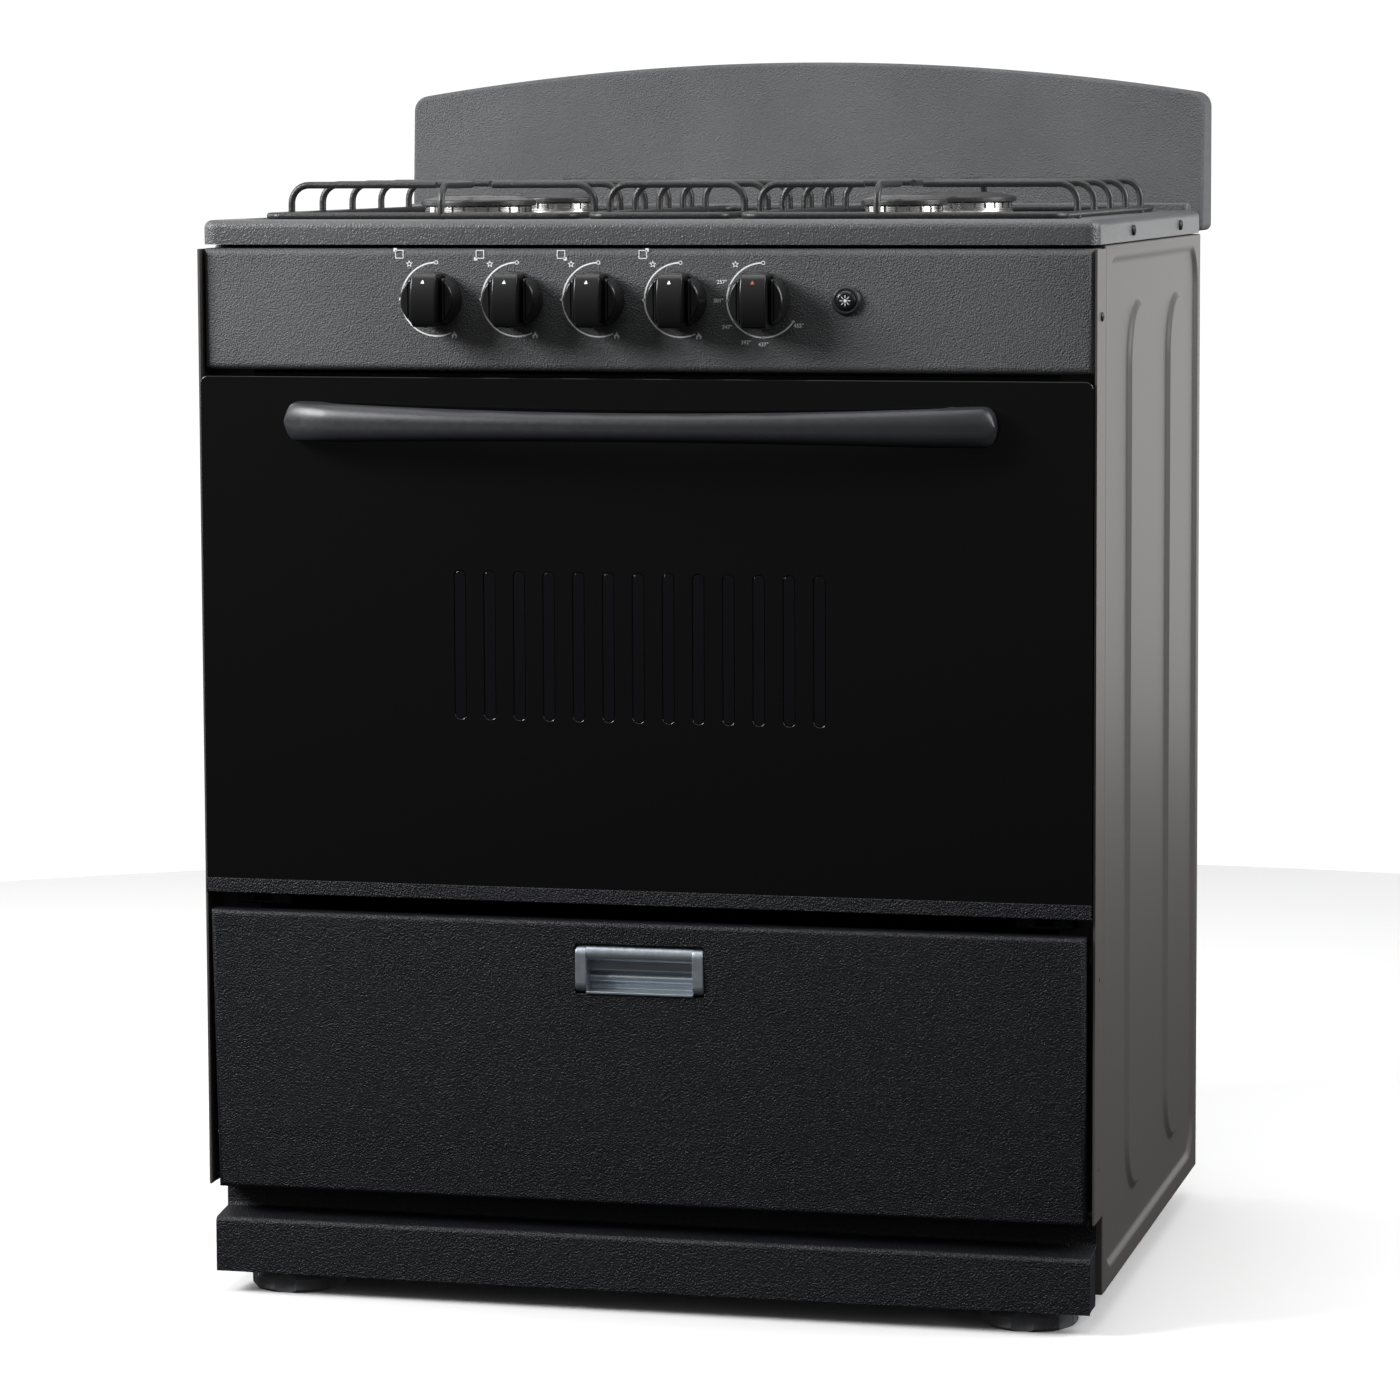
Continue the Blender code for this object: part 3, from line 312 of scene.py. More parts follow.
def plated_metal(name, base, roughness, spangle=22.0):
    """Zinc, nickel or brass, with soft crystal patches."""
    made = Finish(name, base, roughness, 1.0)
    made.tint(made.cells(spangle), 0.82, 1.05, 0.1, 0.7)
    made.mottle(made.noise(70.0, 4.0), roughness - 0.08, roughness + 0.1)
    made.bump(made.noise(500.0, 2.0), 0.00003)
    return made


def braided_cord():
    made = Finish("seal_cord", (0.055, 0.055, 0.058), 0.85)
    made.tint(made.cells(700.0), 0.6, 1.6, 0.1, 0.6)
    made.bump(made.cells(700.0), 0.0005)
    return made


def printing_ink(name, base):
    made = Finish(name, base, 0.5)
    made.tint(made.noise(900.0, 2.0), 0.92, 1.0)
    made.bump(made.noise(1200.0, 2.0), 0.00002)
    return made


def studio_floor():
    made = Finish("studio_floor", sizes("range_colours").floor, 0.65, specular=0.3)
    made.tint(made.noise(1.5, 3.0), 0.99, 1.01)
    return made


FINISHES = {
    "graphite_paint": lambda: textured_paint("graphite_paint", sizes("range_colours").graphite, 0.54,
                                             800.0, 0.0011),
    "hammered_paint": lambda: textured_paint("hammered_paint", sizes("range_colours").graphite, 0.36,
                                             700.0, 0.0006),
    # Painted shade: a darker copy of the graphite paint with less specular, standing in for the shade low on
    # the front.
    "shaded_graphite_paint": lambda: textured_paint("shaded_graphite_paint", sizes("range_colours").flap, 0.46, 800.0,
                                         0.0011, 0.42),
    "side_paint": side_paint,
    "black_glass": printed_glass,
    "clear_glass": clear_glass,
    "smoked_glass": smoked_glass,
    "gloss_plastic": gloss_plastic,
    # Painted light: the feet's base is mid grey, lighter than their dark plastic, standing in for their bright
    # reflections and against the shade under the range.
    "foot_plastic_and_sheen": lambda: satin_plastic("foot_plastic_and_sheen", (0.150, 0.153, 0.162), 0.24),
    "screw_black": lambda: satin_plastic("screw_black", (0.003, 0.003, 0.003), 0.50),
    "handle_plastic": lambda: satin_plastic("handle_plastic", sizes("range_colours").handle, 0.36),
    "pull_plastic": lambda: satin_plastic("pull_plastic", sizes("range_colours").pull, 0.36, 0.8),
    "grate_enamel": lambda: speckled_enamel("grate_enamel", sizes("range_colours").enamel, 0.36,
                                            0.00040),
    "oven_enamel": lambda: speckled_enamel("oven_enamel", (0.020, 0.021, 0.026), 0.26, 0.00010),
    "cast_aluminium": cast_aluminium,
    "zinc_plate": lambda: plated_metal("zinc_plate", (0.55, 0.56, 0.57), 0.36),
    "nickel_plate": lambda: plated_metal("nickel_plate", (0.70, 0.69, 0.66), 0.20, 90.0),
    "bright_wire": lambda: plated_metal("bright_wire", (0.66, 0.66, 0.66), 0.18, 140.0),
    "valve_brass": lambda: plated_metal("valve_brass", (0.62, 0.46, 0.22), 0.30, 60.0),
    "seal_cord": braided_cord,
    "white_ink": lambda: printing_ink("white_ink", sizes("range_colours").ink),
    "amber_ink": lambda: printing_ink("amber_ink", (0.42, 0.13, 0.05)),
    "studio_floor": studio_floor,
}


def finish_of(name):
    """The material of that name, made the first time it is asked for."""
    if name not in bpy.data.materials:
        FINISHES[name]()
    return bpy.data.materials[name]


# ---------------------------------------------------------------- modelling helpers
def clear_selection():
    if bpy.context.mode != "OBJECT":
        bpy.ops.object.mode_set(mode="OBJECT")
    bpy.ops.object.select_all(action="DESELECT")


def choose(ob):
    clear_selection()
    ob.select_set(True)
    bpy.context.view_layer.objects.active = ob
    return ob


def named(name):
    made = bpy.context.object
    made.name = name
    made.data.name = name
    return made


def settle(ob):
    """Puts an object's place, turn and scale into its mesh."""
    choose(ob)
    bpy.ops.object.transform_apply(location=True, rotation=True, scale=True)
    return ob


def add_block(name, low, high):
    clear_selection()
    low, high = Vector(low), Vector(high)
    bpy.ops.mesh.primitive_cube_add(size=1.0, location=(low + high) / 2, scale=high - low)
    return settle(named(name))


def add_bar(name, start, end, radius, sides=32):
    """A straight round bar between two points."""
    clear_selection()
    start, end = Vector(start), Vector(end)
    turn = (end - start).to_track_quat("Z", "Y").to_euler()
    bpy.ops.mesh.primitive_cylinder_add(vertices=sides, radius=radius, depth=(end - start).length,
                                        location=(start + end) / 2, rotation=turn)
    return settle(named(name))


def edit(ob):
    choose(ob)
    bpy.ops.object.mode_set(mode="EDIT")
    bpy.ops.mesh.select_mode(type="VERT")


def pick(kind, test=lambda element: True):
    """Selects the faces, edges or vertices that pass a test, and nothing else."""
    bpy.ops.mesh.select_mode(type=kind)
    bpy.ops.mesh.select_all(action="DESELECT")
    mesh = bmesh.from_edit_mesh(bpy.context.object.data)
    for element in {"FACE": mesh.faces, "EDGE": mesh.edges, "VERT": mesh.verts}[kind]:
        if test(element):
            element.select_set(True)
    mesh.select_flush_mode()
    bmesh.update_edit_mesh(bpy.context.object.data)


def pick_all():
    bpy.ops.mesh.select_all(action="SELECT")


def leave():
    bpy.ops.object.mode_set(mode="OBJECT")


def ends(edge):
    return [vert.co for vert in edge.verts]


def face_out():
    """Turns every face of the mesh outwards and leaves edit mode."""
    pick_all()
    bpy.ops.mesh.normals_make_consistent(inside=False)
    leave()


def weld_doubles(threshold):
    pick_all()
    bpy.ops.mesh.remove_doubles(threshold=threshold)
    face_out()


def runs_along(edge, axis):
    a, b = ends(edge)
    return abs((b - a).normalized()[axis]) > 0.99


def all_at(element, axis, value, slack=0.0002):
    """Whether every corner of an edge or face lies at a place on an axis."""
    return all(abs(vert.co[axis] - value) < slack for vert in element.verts)


def shape(ob, move):
    """Moves every vertex of an object by a rule of its place."""
    for vert in ob.data.vertices:
        vert.co = move(vert.co.copy())
    ob.data.update()


def modify(ob, kind, **settings):
    choose(ob)
    step = ob.modifiers.new("shaping", kind)
    for name, value in settings.items():
        setattr(step, name, value)
    bpy.ops.object.modifier_apply(modifier=step.name)
    return ob


def carve(ob, *cutters):
    for cutter in cutters:
        modify(ob, "BOOLEAN", operation="DIFFERENCE", solver="EXACT", object=cutter)
        bpy.data.objects.remove(cutter, do_unlink=True)
    return ob


def merge_in(ob, *others):
    for other in others:
        modify(ob, "BOOLEAN", operation="UNION", solver="EXACT", object=other)
        bpy.data.objects.remove(other, do_unlink=True)
    return ob


def joined(name, pieces):
    """Several objects made into one, which keeps them as separate shells."""
    clear_selection()
    for piece in pieces:
        piece.select_set(True)
    bpy.context.view_layer.objects.active = pieces[0]
    if len(pieces) > 1:
        bpy.ops.object.join()
    return named(name)


def copied(ob, name, offset=(0, 0, 0), flip=False):
    """A copy with its own mesh, moved, or mirrored across the middle of the range."""
    made = ob.copy()
    made.data = ob.data.copy()
    made.name = made.data.name = name
    bpy.context.scene.collection.objects.link(made)
    for key in [key for key in made.keys() if key.startswith("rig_")]:
        del made[key]
    made.parent = None
    if flip:
        made.data.transform(Matrix.Scale(-1, 4, (1, 0, 0)))
        made.data.flip_normals()
    made.data.transform(Matrix.Translation(offset))
    return made


def rounded(points, radius, steps=4, closed=False):
    """A path whose corners become arcs; the radius may be one for all or one for each."""
    path = []
    count = len(points)
    points = [Vector((*p, 0.0)[:3]) for p in points]
    for i, here in enumerate(points):
        reach = radius[i] if isinstance(radius, (list, tuple)) else radius
        if reach <= 0 or (not closed and i in (0, count - 1)):
            path.append(here)
            continue
        before = (points[i - 1] - here).normalized()
        after = (points[(i + 1) % count] - here).normalized()
        half = before.angle(after) / 2
        centre = here + (before + after).normalized() * reach / math.sin(half)
        start = here + before * reach / math.tan(half) - centre
        end = here + after * reach / math.tan(half) - centre
        sweep = math.pi - 2 * half
        for k in range(steps + 1):
            share = k / steps
            path.append(centre + start * (math.sin(sweep * (1 - share)) / math.sin(sweep))
                        + end * (math.sin(sweep * share) / math.sin(sweep)))
    return path


def drawn_line(name, path, closed=False):
    """One vertex, extruded from point to point, and joined to its start if closed."""
    clear_selection()
    bpy.ops.mesh.primitive_plane_add(size=0.001, location=(0, 0, 0))
    made = named(name)
    edit(made)
    pick_all()
    bpy.ops.mesh.merge(type="CENTER")
    bpy.ops.transform.translate(value=path[0])
    for here, there in zip(path, path[1:]):
        bpy.ops.mesh.extrude_vertices_move(TRANSFORM_OT_translate={"value": there - here})
    if closed:
        tips = (path[0], path[-1])
        pick("VERT", lambda vert: any((vert.co - tip).length < 0.00002 for tip in tips))
        bpy.ops.mesh.edge_face_add()
    leave()
    return made


def turned(name, profile, centre, toward="z", steps=48):
    """A profile line, spun round the axis, then stood at its centre facing a direction."""
    made = drawn_line(name, [Vector((radius, 0, height)) for radius, height in profile])
    edit(made)
    pick_all()
    bpy.ops.mesh.spin(steps=steps, angle=2 * math.pi, center=(0, 0, 0), axis=(0, 0, 1))
    weld_doubles(DOUBLES)
    made.rotation_euler = FACING[toward]
    made.location = centre
    return settle(made)


def soft_profile(points, radius, steps=4):
    """A profile with its inner corners rounded, as radius and height pairs."""
    return [(p.x, p.y) for p in rounded(points, radius, steps)]


def wire(name, path, radius, closed=False, roundness=3):
    """A bent wire: a drawn line made a curve with a round section, then a mesh."""
    made = drawn_line(name, path, closed)
    choose(made)
    bpy.ops.object.convert(target="CURVE")
    made = bpy.context.object
    made.data.bevel_depth = radius
    made.data.bevel_resolution = roundness
    made.data.use_fill_caps = True
    bpy.ops.object.convert(target="MESH")
    made = named(name)
    edit(made)
    weld_doubles(DOUBLES)
    return made


def plate(name, outline, low, high, axis):
    """A flat outline filled and extruded along an axis, from low to high."""
    order = {"x": lambda a, b: Vector((low, a, b)), "y": lambda a, b: Vector((a, low, b)),
             "z": lambda a, b: Vector((a, b, low))}[axis]
    made = drawn_line(name, [order(p[0], p[1]) for p in outline], closed=True)
    edit(made)
    pick_all()
    bpy.ops.mesh.edge_face_add()
    step = [0, 0, 0]
    step["xyz".index(axis)] = high - low
    bpy.ops.mesh.extrude_region_move(TRANSFORM_OT_translate={"value": step})
    face_out()
    return made


def soften(test, width, segments=3):
    """Rounds the edges that pass a test, in edit mode."""
    pick("EDGE", test)
    bpy.ops.mesh.bevel(offset=width, segments=segments, affect="EDGES", clamp_overlap=True)


def finished(ob, body, finish, *stands_for, angle=35):
    """Shades a piece, gives it its finish and lets it ride on its body."""
    choose(ob)
    bpy.ops.object.shade_smooth_by_angle(angle=math.radians(angle))
    modify(ob, "WEIGHTED_NORMAL", keep_sharp=True, weight=80)
    ob.data.materials.clear()
    ob.data.materials.append(finish_of(finish))
    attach(ob, body)
    if stands_for:
        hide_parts(*stands_for)
    return ob


def done():
    """What an operator returns once its pieces are built."""
    clear_selection()
    return {"FINISHED"}


# ---------------------------------------------------------------- places
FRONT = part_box("right_front_post")[0].y
PANEL_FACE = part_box("control_panel")[0].y
CONTROL_Z = (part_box("light_button")[0].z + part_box("light_button")[1].z) / 2
CONTROL_PITCH = 0.0696
RIM_Z, WELL_Z = 0.914, 0.911     # the cooktop's rim and the floor of its well
SEAT_Z = WELL_Z + 0.0003         # where burners and grates stand
HEAD_Z = 0.9235                  # top of a burner head
KNOB_RADIUS = 0.0232
KNOBS = BURNERS + ("oven",)


def behind(depth):
    """Y of a place at a depth behind the front posts."""
    return FRONT + depth


def middle_of(node):
    low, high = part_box(node)
    return (low + high) / 2


def control_x(index):
    return (index - 2.5) * CONTROL_PITCH


def round_corners(low, high, radius, steps=8):
    """Outline of a rectangle with rounded corners, anticlockwise."""
    corners = [(low[0], low[1]), (high[0], low[1]), (high[0], high[1]), (low[0], high[1])]
    return rounded(corners, radius, steps, closed=True)


def circle(centre, radius, steps=48):
    return [Vector((centre[0] + radius * math.cos(2 * math.pi * k / steps),
                    centre[1] + radius * math.sin(2 * math.pi * k / steps), 0)) for k in range(steps)]


# ---------------------------------------------------------------- pressed sheets
def flat_face(name, outline, axis, at, facing):
    """A filled outline in a plane, whose normal points to a side of it."""
    order = {"x": lambda p: Vector((at, p.x, p.y)), "y": lambda p: Vector((p.x, at, p.y)),
             "z": lambda p: Vector((p.x, p.y, at))}[axis]
    made = drawn_line(name, [order(p) for p in outline], closed=True)
    edit(made)
    pick_all()
    bpy.ops.mesh.edge_face_add()
    mesh = bmesh.from_edit_mesh(made.data)
    mesh.normal_update()
    mesh.faces.ensure_lookup_table()
    if mesh.faces[0].normal["xyz".index(axis)] * facing < 0:
        pick_all()
        bpy.ops.mesh.flip_normals()
    leave()
    return made


def press(width, depth, steps=6):
    """Insets the selected face step by step along a soft S, and leaves the last face selected."""
    before = 0.0
    for k in range(1, steps + 1):
        share = k / steps
        drop = depth * share * share * (3 - 2 * share)
        bpy.ops.mesh.inset(thickness=width / steps, depth=drop - before)
        before = drop


def pressed_outline(name, outline, axis, at, facing, width, depth):
    """The sloping wall of a pressed shape, open in its middle."""
    made = flat_face(name, outline, axis, at, facing)
    edit(made)
    pick_all()
    press(width, depth)
    bpy.ops.mesh.delete(type="FACE")
    leave()
    return made


def fill_between(axis, at):
    """Fills the plane between all the open loops that lie in it."""
    pick("EDGE", lambda edge: edge.is_boundary and all_at(edge, axis, at, 0.00005))
    bpy.ops.mesh.fill(use_beauty=True)


def pressed_tray(name, low, high, axis, facing, edge, sheet, field, field_depth, slope, ribs):
    """A shallow tray of sheet steel whose outer face has a field pressed in and ribs left standing.

    The field and ribs are outlines in the plane of the outer face.
    """
    index = "xyz".index(axis)
    outer = high[index] if facing > 0 else low[index]
    inner = low[index] if facing > 0 else high[index]
    floor = outer - facing * field_depth
    tray = add_block(name, low, high)
    edit(tray)
    soften(lambda e: not all_at(e, index, inner), edge, 3)
    pick("FACE", lambda face: all_at(face, index, inner))
    bpy.ops.mesh.delete(type="FACE")
    pick("FACE", lambda face: all_at(face, index, outer, 0.00005))
    bpy.ops.mesh.delete(type="ONLY_FACE")
    leave()
    walls = [pressed_outline("field", field, axis, outer, facing, slope, -field_depth)]
    for rib in ribs:
        crown = flat_face("crown", rib, axis, floor, facing)
        edit(crown)
        pick_all()
        press(slope, field_depth)
        leave()
        walls.append(crown)
    tray = joined(name, [tray] + walls)
    edit(tray)
    fill_between(index, outer)
    fill_between(index, floor)
    weld_doubles(2 * DOUBLES)
    modify(tray, "SOLIDIFY", thickness=sheet, offset=-1.0, use_even_offset=True)
    return tray


def screw(name, centre, toward, radius, height):
    """A pan-head screw with a cross recess."""
    profile = soft_profile([(0, height), (radius * 0.8, height * 0.9), (radius, height * 0.35),
                            (radius, -height * 0.4), (0, -height * 0.4)],
                           [0, radius * 0.12, radius * 0.1, 0, 0], 3)
    head = turned(name, profile, (0, 0, 0), "z", 24)
    arm, cut_depth = radius * 0.55, height * 0.5
    for long_x in (True, False):
        a, b = (arm, radius * 0.13) if long_x else (radius * 0.13, arm)
        carve(head, add_block("recess", (-a, -b, height - cut_depth), (a, b, height * 2)))
    head.rotation_euler = FACING[toward]
    head.location = centre
    return settle(head)


# ---------------------------------------------------------------- shell
class RANGE_OT_side_panels(Operator):
    """Builds the two side sheets, each pressed in round two long oval ribs"""
    bl_idname = "gas_range.side_panels"
    bl_label = "Side panels"
    bl_options = {"REGISTER", "UNDO"}

    def execute(self, context):
        given = sizes("range_shell")
        low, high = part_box("right_side_panel")
        border = given.field_border
        field = round_corners((low.y + border, low.z + 0.014), (high.y - 0.016, high.z - border),
                              given.field_corner)
        reach = given.rib_half
        ribs = [round_corners((behind(depth) - reach, given.rib_low), (behind(depth) + reach, given.rib_high),
                              reach * 0.97, 14) for depth in (0.232, 0.452)]
        right = pressed_tray("right_side_sheet", low, high, "x", 1, 0.0016, given.sheet, field,
                             given.field_depth, given.press_slope, ribs)
        left = copied(right, "left_side_sheet", flip=True)
        finished(right, "chassis", "side_paint", "right_side_panel")
        finished(left, "chassis", "side_paint", "left_side_panel")
        return done()


class RANGE_OT_rear_cover(Operator):
    """Builds the plated cover over the back, with its ribs, louvres and screws"""
    bl_idname = "gas_range.rear_cover"
    bl_label = "Rear cover"
    bl_options = {"REGISTER", "UNDO"}

    def execute(self, context):
        given = sizes("range_shell")
        low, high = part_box("rear_cover")
        field = round_corners((low.x + 0.022, low.z + 0.030), (high.x - 0.022, 0.780), 0.020)
        ribs = [round_corners((x - 0.055, 0.170), (x + 0.055, 0.740), 0.050, 10) for x in (-0.22, 0.0, 0.22)]
        cover = pressed_tray("rear_sheet", low, high, "y", 1, 0.0030, given.sheet, field, 0.0040, 0.010, ribs)
        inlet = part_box("gas_manifold")[1].x - 0.008
        carve(cover, add_bar("inlet_hole", (inlet, high.y - 0.03, CONTROL_Z), (inlet, high.y + 0.03, CONTROL_Z),
                             0.013))
        hood = add_block("louvre", (-0.250, high.y - 0.0004, 0.802), (-0.190, high.y + 0.0026, 0.810))
        edit(hood)
        soften(lambda e: not all_at(e, 1, high.y - 0.0004) and not all_at(e, 2, 0.802), 0.0024, 4)
        leave()
        hoods = [copied(hood, "louvre", (dx, 0, dz)) for dx in (0.0, 0.11, 0.22, 0.33)
                 for dz in (0.0, 0.014, 0.028, 0.042)]
        bpy.data.objects.remove(hood, do_unlink=True)
        finished(joined("rear_sheet", [cover] + hoods), "chassis", "zinc_plate", "rear_cover")
        first = screw("rear_screw", (low.x + 0.010, high.y, low.z + 0.045), "y", 0.0042, 0.0022)
        across = high.x - low.x - 0.020
        copies = [copied(first, "rear_screw", (dx, 0, dz)) for dx in (0.0, across)
                  for dz in (0.0, 0.2325, 0.465, 0.6975) if (dx, dz) != (0.0, 0.0)]
        finished(joined("rear_screws", [first] + copies), "chassis", "nickel_plate")
        return done()


class RANGE_OT_plinth(Operator):
    """Builds the kick strip below the flap"""
    bl_idname = "gas_range.plinth"
    bl_label = "Plinth"
    bl_options = {"REGISTER", "UNDO"}

    def execute(self, context):
        low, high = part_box("plinth")
        sheet = 0.0015
        bend = [(low.y, low.z), (low.y, 0.0655), (behind(0.0355), 0.0700), (behind(0.0355), high.z)]
        section = rounded(bend, [0, 0.0045, 0.0040, 0], 5)
        strip = drawn_line("kick_strip", [Vector((low.x, p.x, p.y)) for p in section])
        edit(strip)
        pick_all()
        bpy.ops.mesh.extrude_region_move(TRANSFORM_OT_translate={"value": (high.x - low.x, 0, 0)})
        pick_all()
        bpy.ops.mesh.normals_make_consistent(inside=False)
        mesh = bmesh.from_edit_mesh(strip.data)
        front = max(mesh.faces, key=lambda face: face.calc_area())
        if front.normal.y > 0:
            bpy.ops.mesh.flip_normals()
        leave()
        modify(strip, "SOLIDIFY", thickness=sheet, offset=-1.0)
        cheeks = [add_block("cheek", (x - sheet / 2, low.y + 0.0006, low.z + 0.0006),
                            (x + sheet / 2, behind(0.036), 0.0650)) for x in (low.x + sheet, high.x - sheet)]
        strip = joined("kick_strip", [strip] + cheeks)
        modify(strip, "BEVEL", width=0.0004, segments=2, limit_method="ANGLE")
        finished(strip, "chassis", "shaded_graphite_paint", "plinth")
        return done()


class RANGE_OT_feet(Operator):
    """Builds the four screw feet"""
    bl_idname = "gas_range.feet"
    bl_label = "Feet"
    bl_options = {"REGISTER", "UNDO"}

    def execute(self, context):
        centre = middle_of("foot_front_left")
        radius = 0.040
        profile = soft_profile([(0, 0.0300), (0.0175, 0.0300), (0.0235, 0.0205), (0.0368, 0.0165),
                                (radius, 0.0110), (radius, 0.0025), (0.0370, 0.0), (0, 0.0)],
                               [0, 0.0018, 0.0030, 0.0026, 0.0020, 0.0018, 0.0012, 0], 4)
        disc = turned("foot_disc", profile, (centre.x, centre.y, 0), "z", 96)
        notch = add_bar("notch", (centre.x + 0.057, centre.y, -0.01), (centre.x + 0.057, centre.y, 0.05),
                        0.0205, 48)
        carve(disc, joined("notches", turned_copies(notch, 6, centre, math.pi / 6)))
        modify(disc, "BEVEL", width=0.0010, segments=3, limit_method="ANGLE", angle_limit=math.radians(40))
        thread = [(0, 0.0295)]
        for k in range(20):
            z = 0.0300 + 0.0015 * k
            thread += [(0.0046, z), (0.0052, z + 0.0004), (0.0052, z + 0.0008), (0.0046, z + 0.0012)]
        stem = turned("foot_stem", thread + [(0, 0.0598)], (centre.x, centre.y, 0), "z", 24)
        for name in FEET:
            place = middle_of("foot_" + name) - centre
            offset = (place.x, place.y, 0)
            body = "foot_" + name
            finished(copied(disc, "disc_" + name, offset), body, "foot_plastic_and_sheen", "foot_" + name)
            finished(copied(stem, "stem_" + name, offset), body, "zinc_plate")
        for ob in (disc, stem):
            bpy.data.objects.remove(ob, do_unlink=True)
        return done()


def turned_copies(ob, count, centre, start=0.0, axis="Z"):
    """An object and its copies in a ring round a centre; the first is turned too."""
    made = []
    to_centre = Matrix.Translation(centre)
    for k in range(count):
        one = ob if k == count - 1 else copied(ob, ob.name)
        turn = Matrix.Rotation(start + 2 * math.pi * k / count, 4, axis)
        one.data.transform(to_centre @ turn @ to_centre.inverted())
        made.append(one)
    return made


class RANGE_OT_backguard(Operator):
    """Builds the arched board behind the cooktop"""
    bl_idname = "gas_range.backguard"
    bl_label = "Backguard"
    bl_options = {"REGISTER", "UNDO"}

    def execute(self, context):
        given = sizes("range_shell")
        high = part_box("backguard")[1]
        side, floor, corner_z, crown_z, lean = high.x, 0.8945, 1.021, high.z, 0.010
        near = behind(0.610)
        arch = []
        for k in range(33):
            x = side * (1 - k / 16)
            arch.append((x, corner_z + (crown_z - corner_z) * (1 - (x / side) ** 2)))
        outline = rounded([(side, floor)] + arch + [(-side, floor)],
                          [0.006, 0.014] + [0] * 31 + [0.014, 0.006], 6, closed=True)
        guard = plate("backguard_board", outline, near, high.y, "y")
        shape(guard, lambda co: Vector((co.x, co.y + (lean * (co.z - floor) / (crown_z - floor)
                                                      if co.y < near + 0.001 else 0), co.z)))
        edit(guard)
        soften(lambda e: all(co.y < near + lean + 0.002 for co in ends(e)), given.guard_edge, 5)
        pick("FACE", lambda face: all_at(face, 1, high.y))
        bpy.ops.mesh.inset(thickness=0.009)
        bpy.ops.mesh.delete(type="FACE")
        leave()
        modify(guard, "SOLIDIFY", thickness=0.0012, offset=-1.0, use_even_offset=False)
        tabs = [add_block("tab", (x - 0.03, behind(0.6030), 0.800), (x + 0.03, behind(0.6045), 0.9085))
                for x in (-0.24, 0.24)]
        bends = [add_block("bend", (x - 0.03, behind(0.6030), 0.9030), (x + 0.03, behind(0.6112), 0.9085))
                 for x in (-0.24, 0.24)]
        finished(joined("backguard_board", [guard] + tabs + bends), "chassis", "graphite_paint", "backguard")
        return done()


# ---------------------------------------------------------------- cooktop
def burner_places():
    """Each burner's name, with its centre and the radius of its base."""
    for name in BURNERS:
        centre = middle_of("burner_cap_" + name)
        low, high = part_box("burner_cap_" + name)
        yield name, centre.x, centre.y, (high.x - low.x) / 2 - 0.0035


class RANGE_OT_cooktop(Operator):
    """Builds the pressed cooktop with its well, its burner dishes and its skirt screws"""
    bl_idname = "gas_range.cooktop"
    bl_label = "Cooktop"
    bl_options = {"REGISTER", "UNDO"}

    def execute(self, context):
        given = sizes("range_shell")
        low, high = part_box("cooktop")
        top = add_block("cooktop_pan", low, (high.x, high.y, RIM_Z))
        edit(top)
        soften(lambda e: runs_along(e, 2), 0.012, 6)
        soften(lambda e: all_at(e, 2, RIM_Z) and e.calc_face_angle(0) > 0.5, given.lip_edge, 6)
        leave()
        under = add_block("under", (low.x + given.sheet, low.y + given.sheet, low.z - 0.02),
                          (high.x - given.sheet, high.y - given.sheet, WELL_Z - given.sheet))
        edit(under)
        soften(lambda e: runs_along(e, 2), 0.0108, 6)
        leave()
        carve(top, under)
        well = plate("well", round_corners((low.x + 0.0237, behind(0.040)), (high.x - 0.0237, behind(0.566)),
                                           0.016, 8), WELL_Z, RIM_Z + 0.02, "z")
        carve(top, well)
        upstand = add_block("upstand", (-0.372, behind(0.575), RIM_Z - 0.002), (0.372, high.y, high.z))
        edit(upstand)
        soften(lambda e: runs_along(e, 2), 0.006, 4)
        soften(lambda e: all_at(e, 2, high.z) and e.calc_face_angle(0) > 0.5, 0.0025, 3)
        leave()
        merge_in(top, upstand)
        holes = [add_bar("hole", (x, y, WELL_Z - 0.01), (x, y, WELL_Z + 0.02), radius - 0.012, 48)
                 for _, x, y, radius in burner_places()]
        carve(top, joined("holes", holes))
        modify(top, "BEVEL", width=0.0011, segments=3, limit_method="ANGLE", angle_limit=math.radians(50))
        dishes = []
        for _, x, y, radius in burner_places():
            rise = [(radius + 0.0050, -0.0006), (radius + 0.0075, 0.0010), (radius + 0.0105, 0.0010),
                    (radius + 0.0170, -0.0006)]
            profile = soft_profile(rise, [0, 0.0015, 0.0020, 0], 4)
            dishes.append(turned("dish", profile + [profile[0]], (x, y, WELL_Z), "z", 72))
        finished(joined("cooktop_pan", [top] + dishes), "chassis", "hammered_paint", "cooktop")
        screws = []
        for _, side in SIDES:
            out = "x" if side > 0 else "-x"
            for depth in (0.185, 0.457):
                screws.append(screw("skirt_screw", (side * high.x, behind(depth), low.z + 0.0090), out,
                                    0.0046, 0.0026))
            screws.append(screw("post_screw", (side * HALF_WIDTH, behind(0.022), 0.8355), out, 0.0038, 0.0018))
        finished(joined("black_screws", screws), "chassis", "screw_black")
        return done()


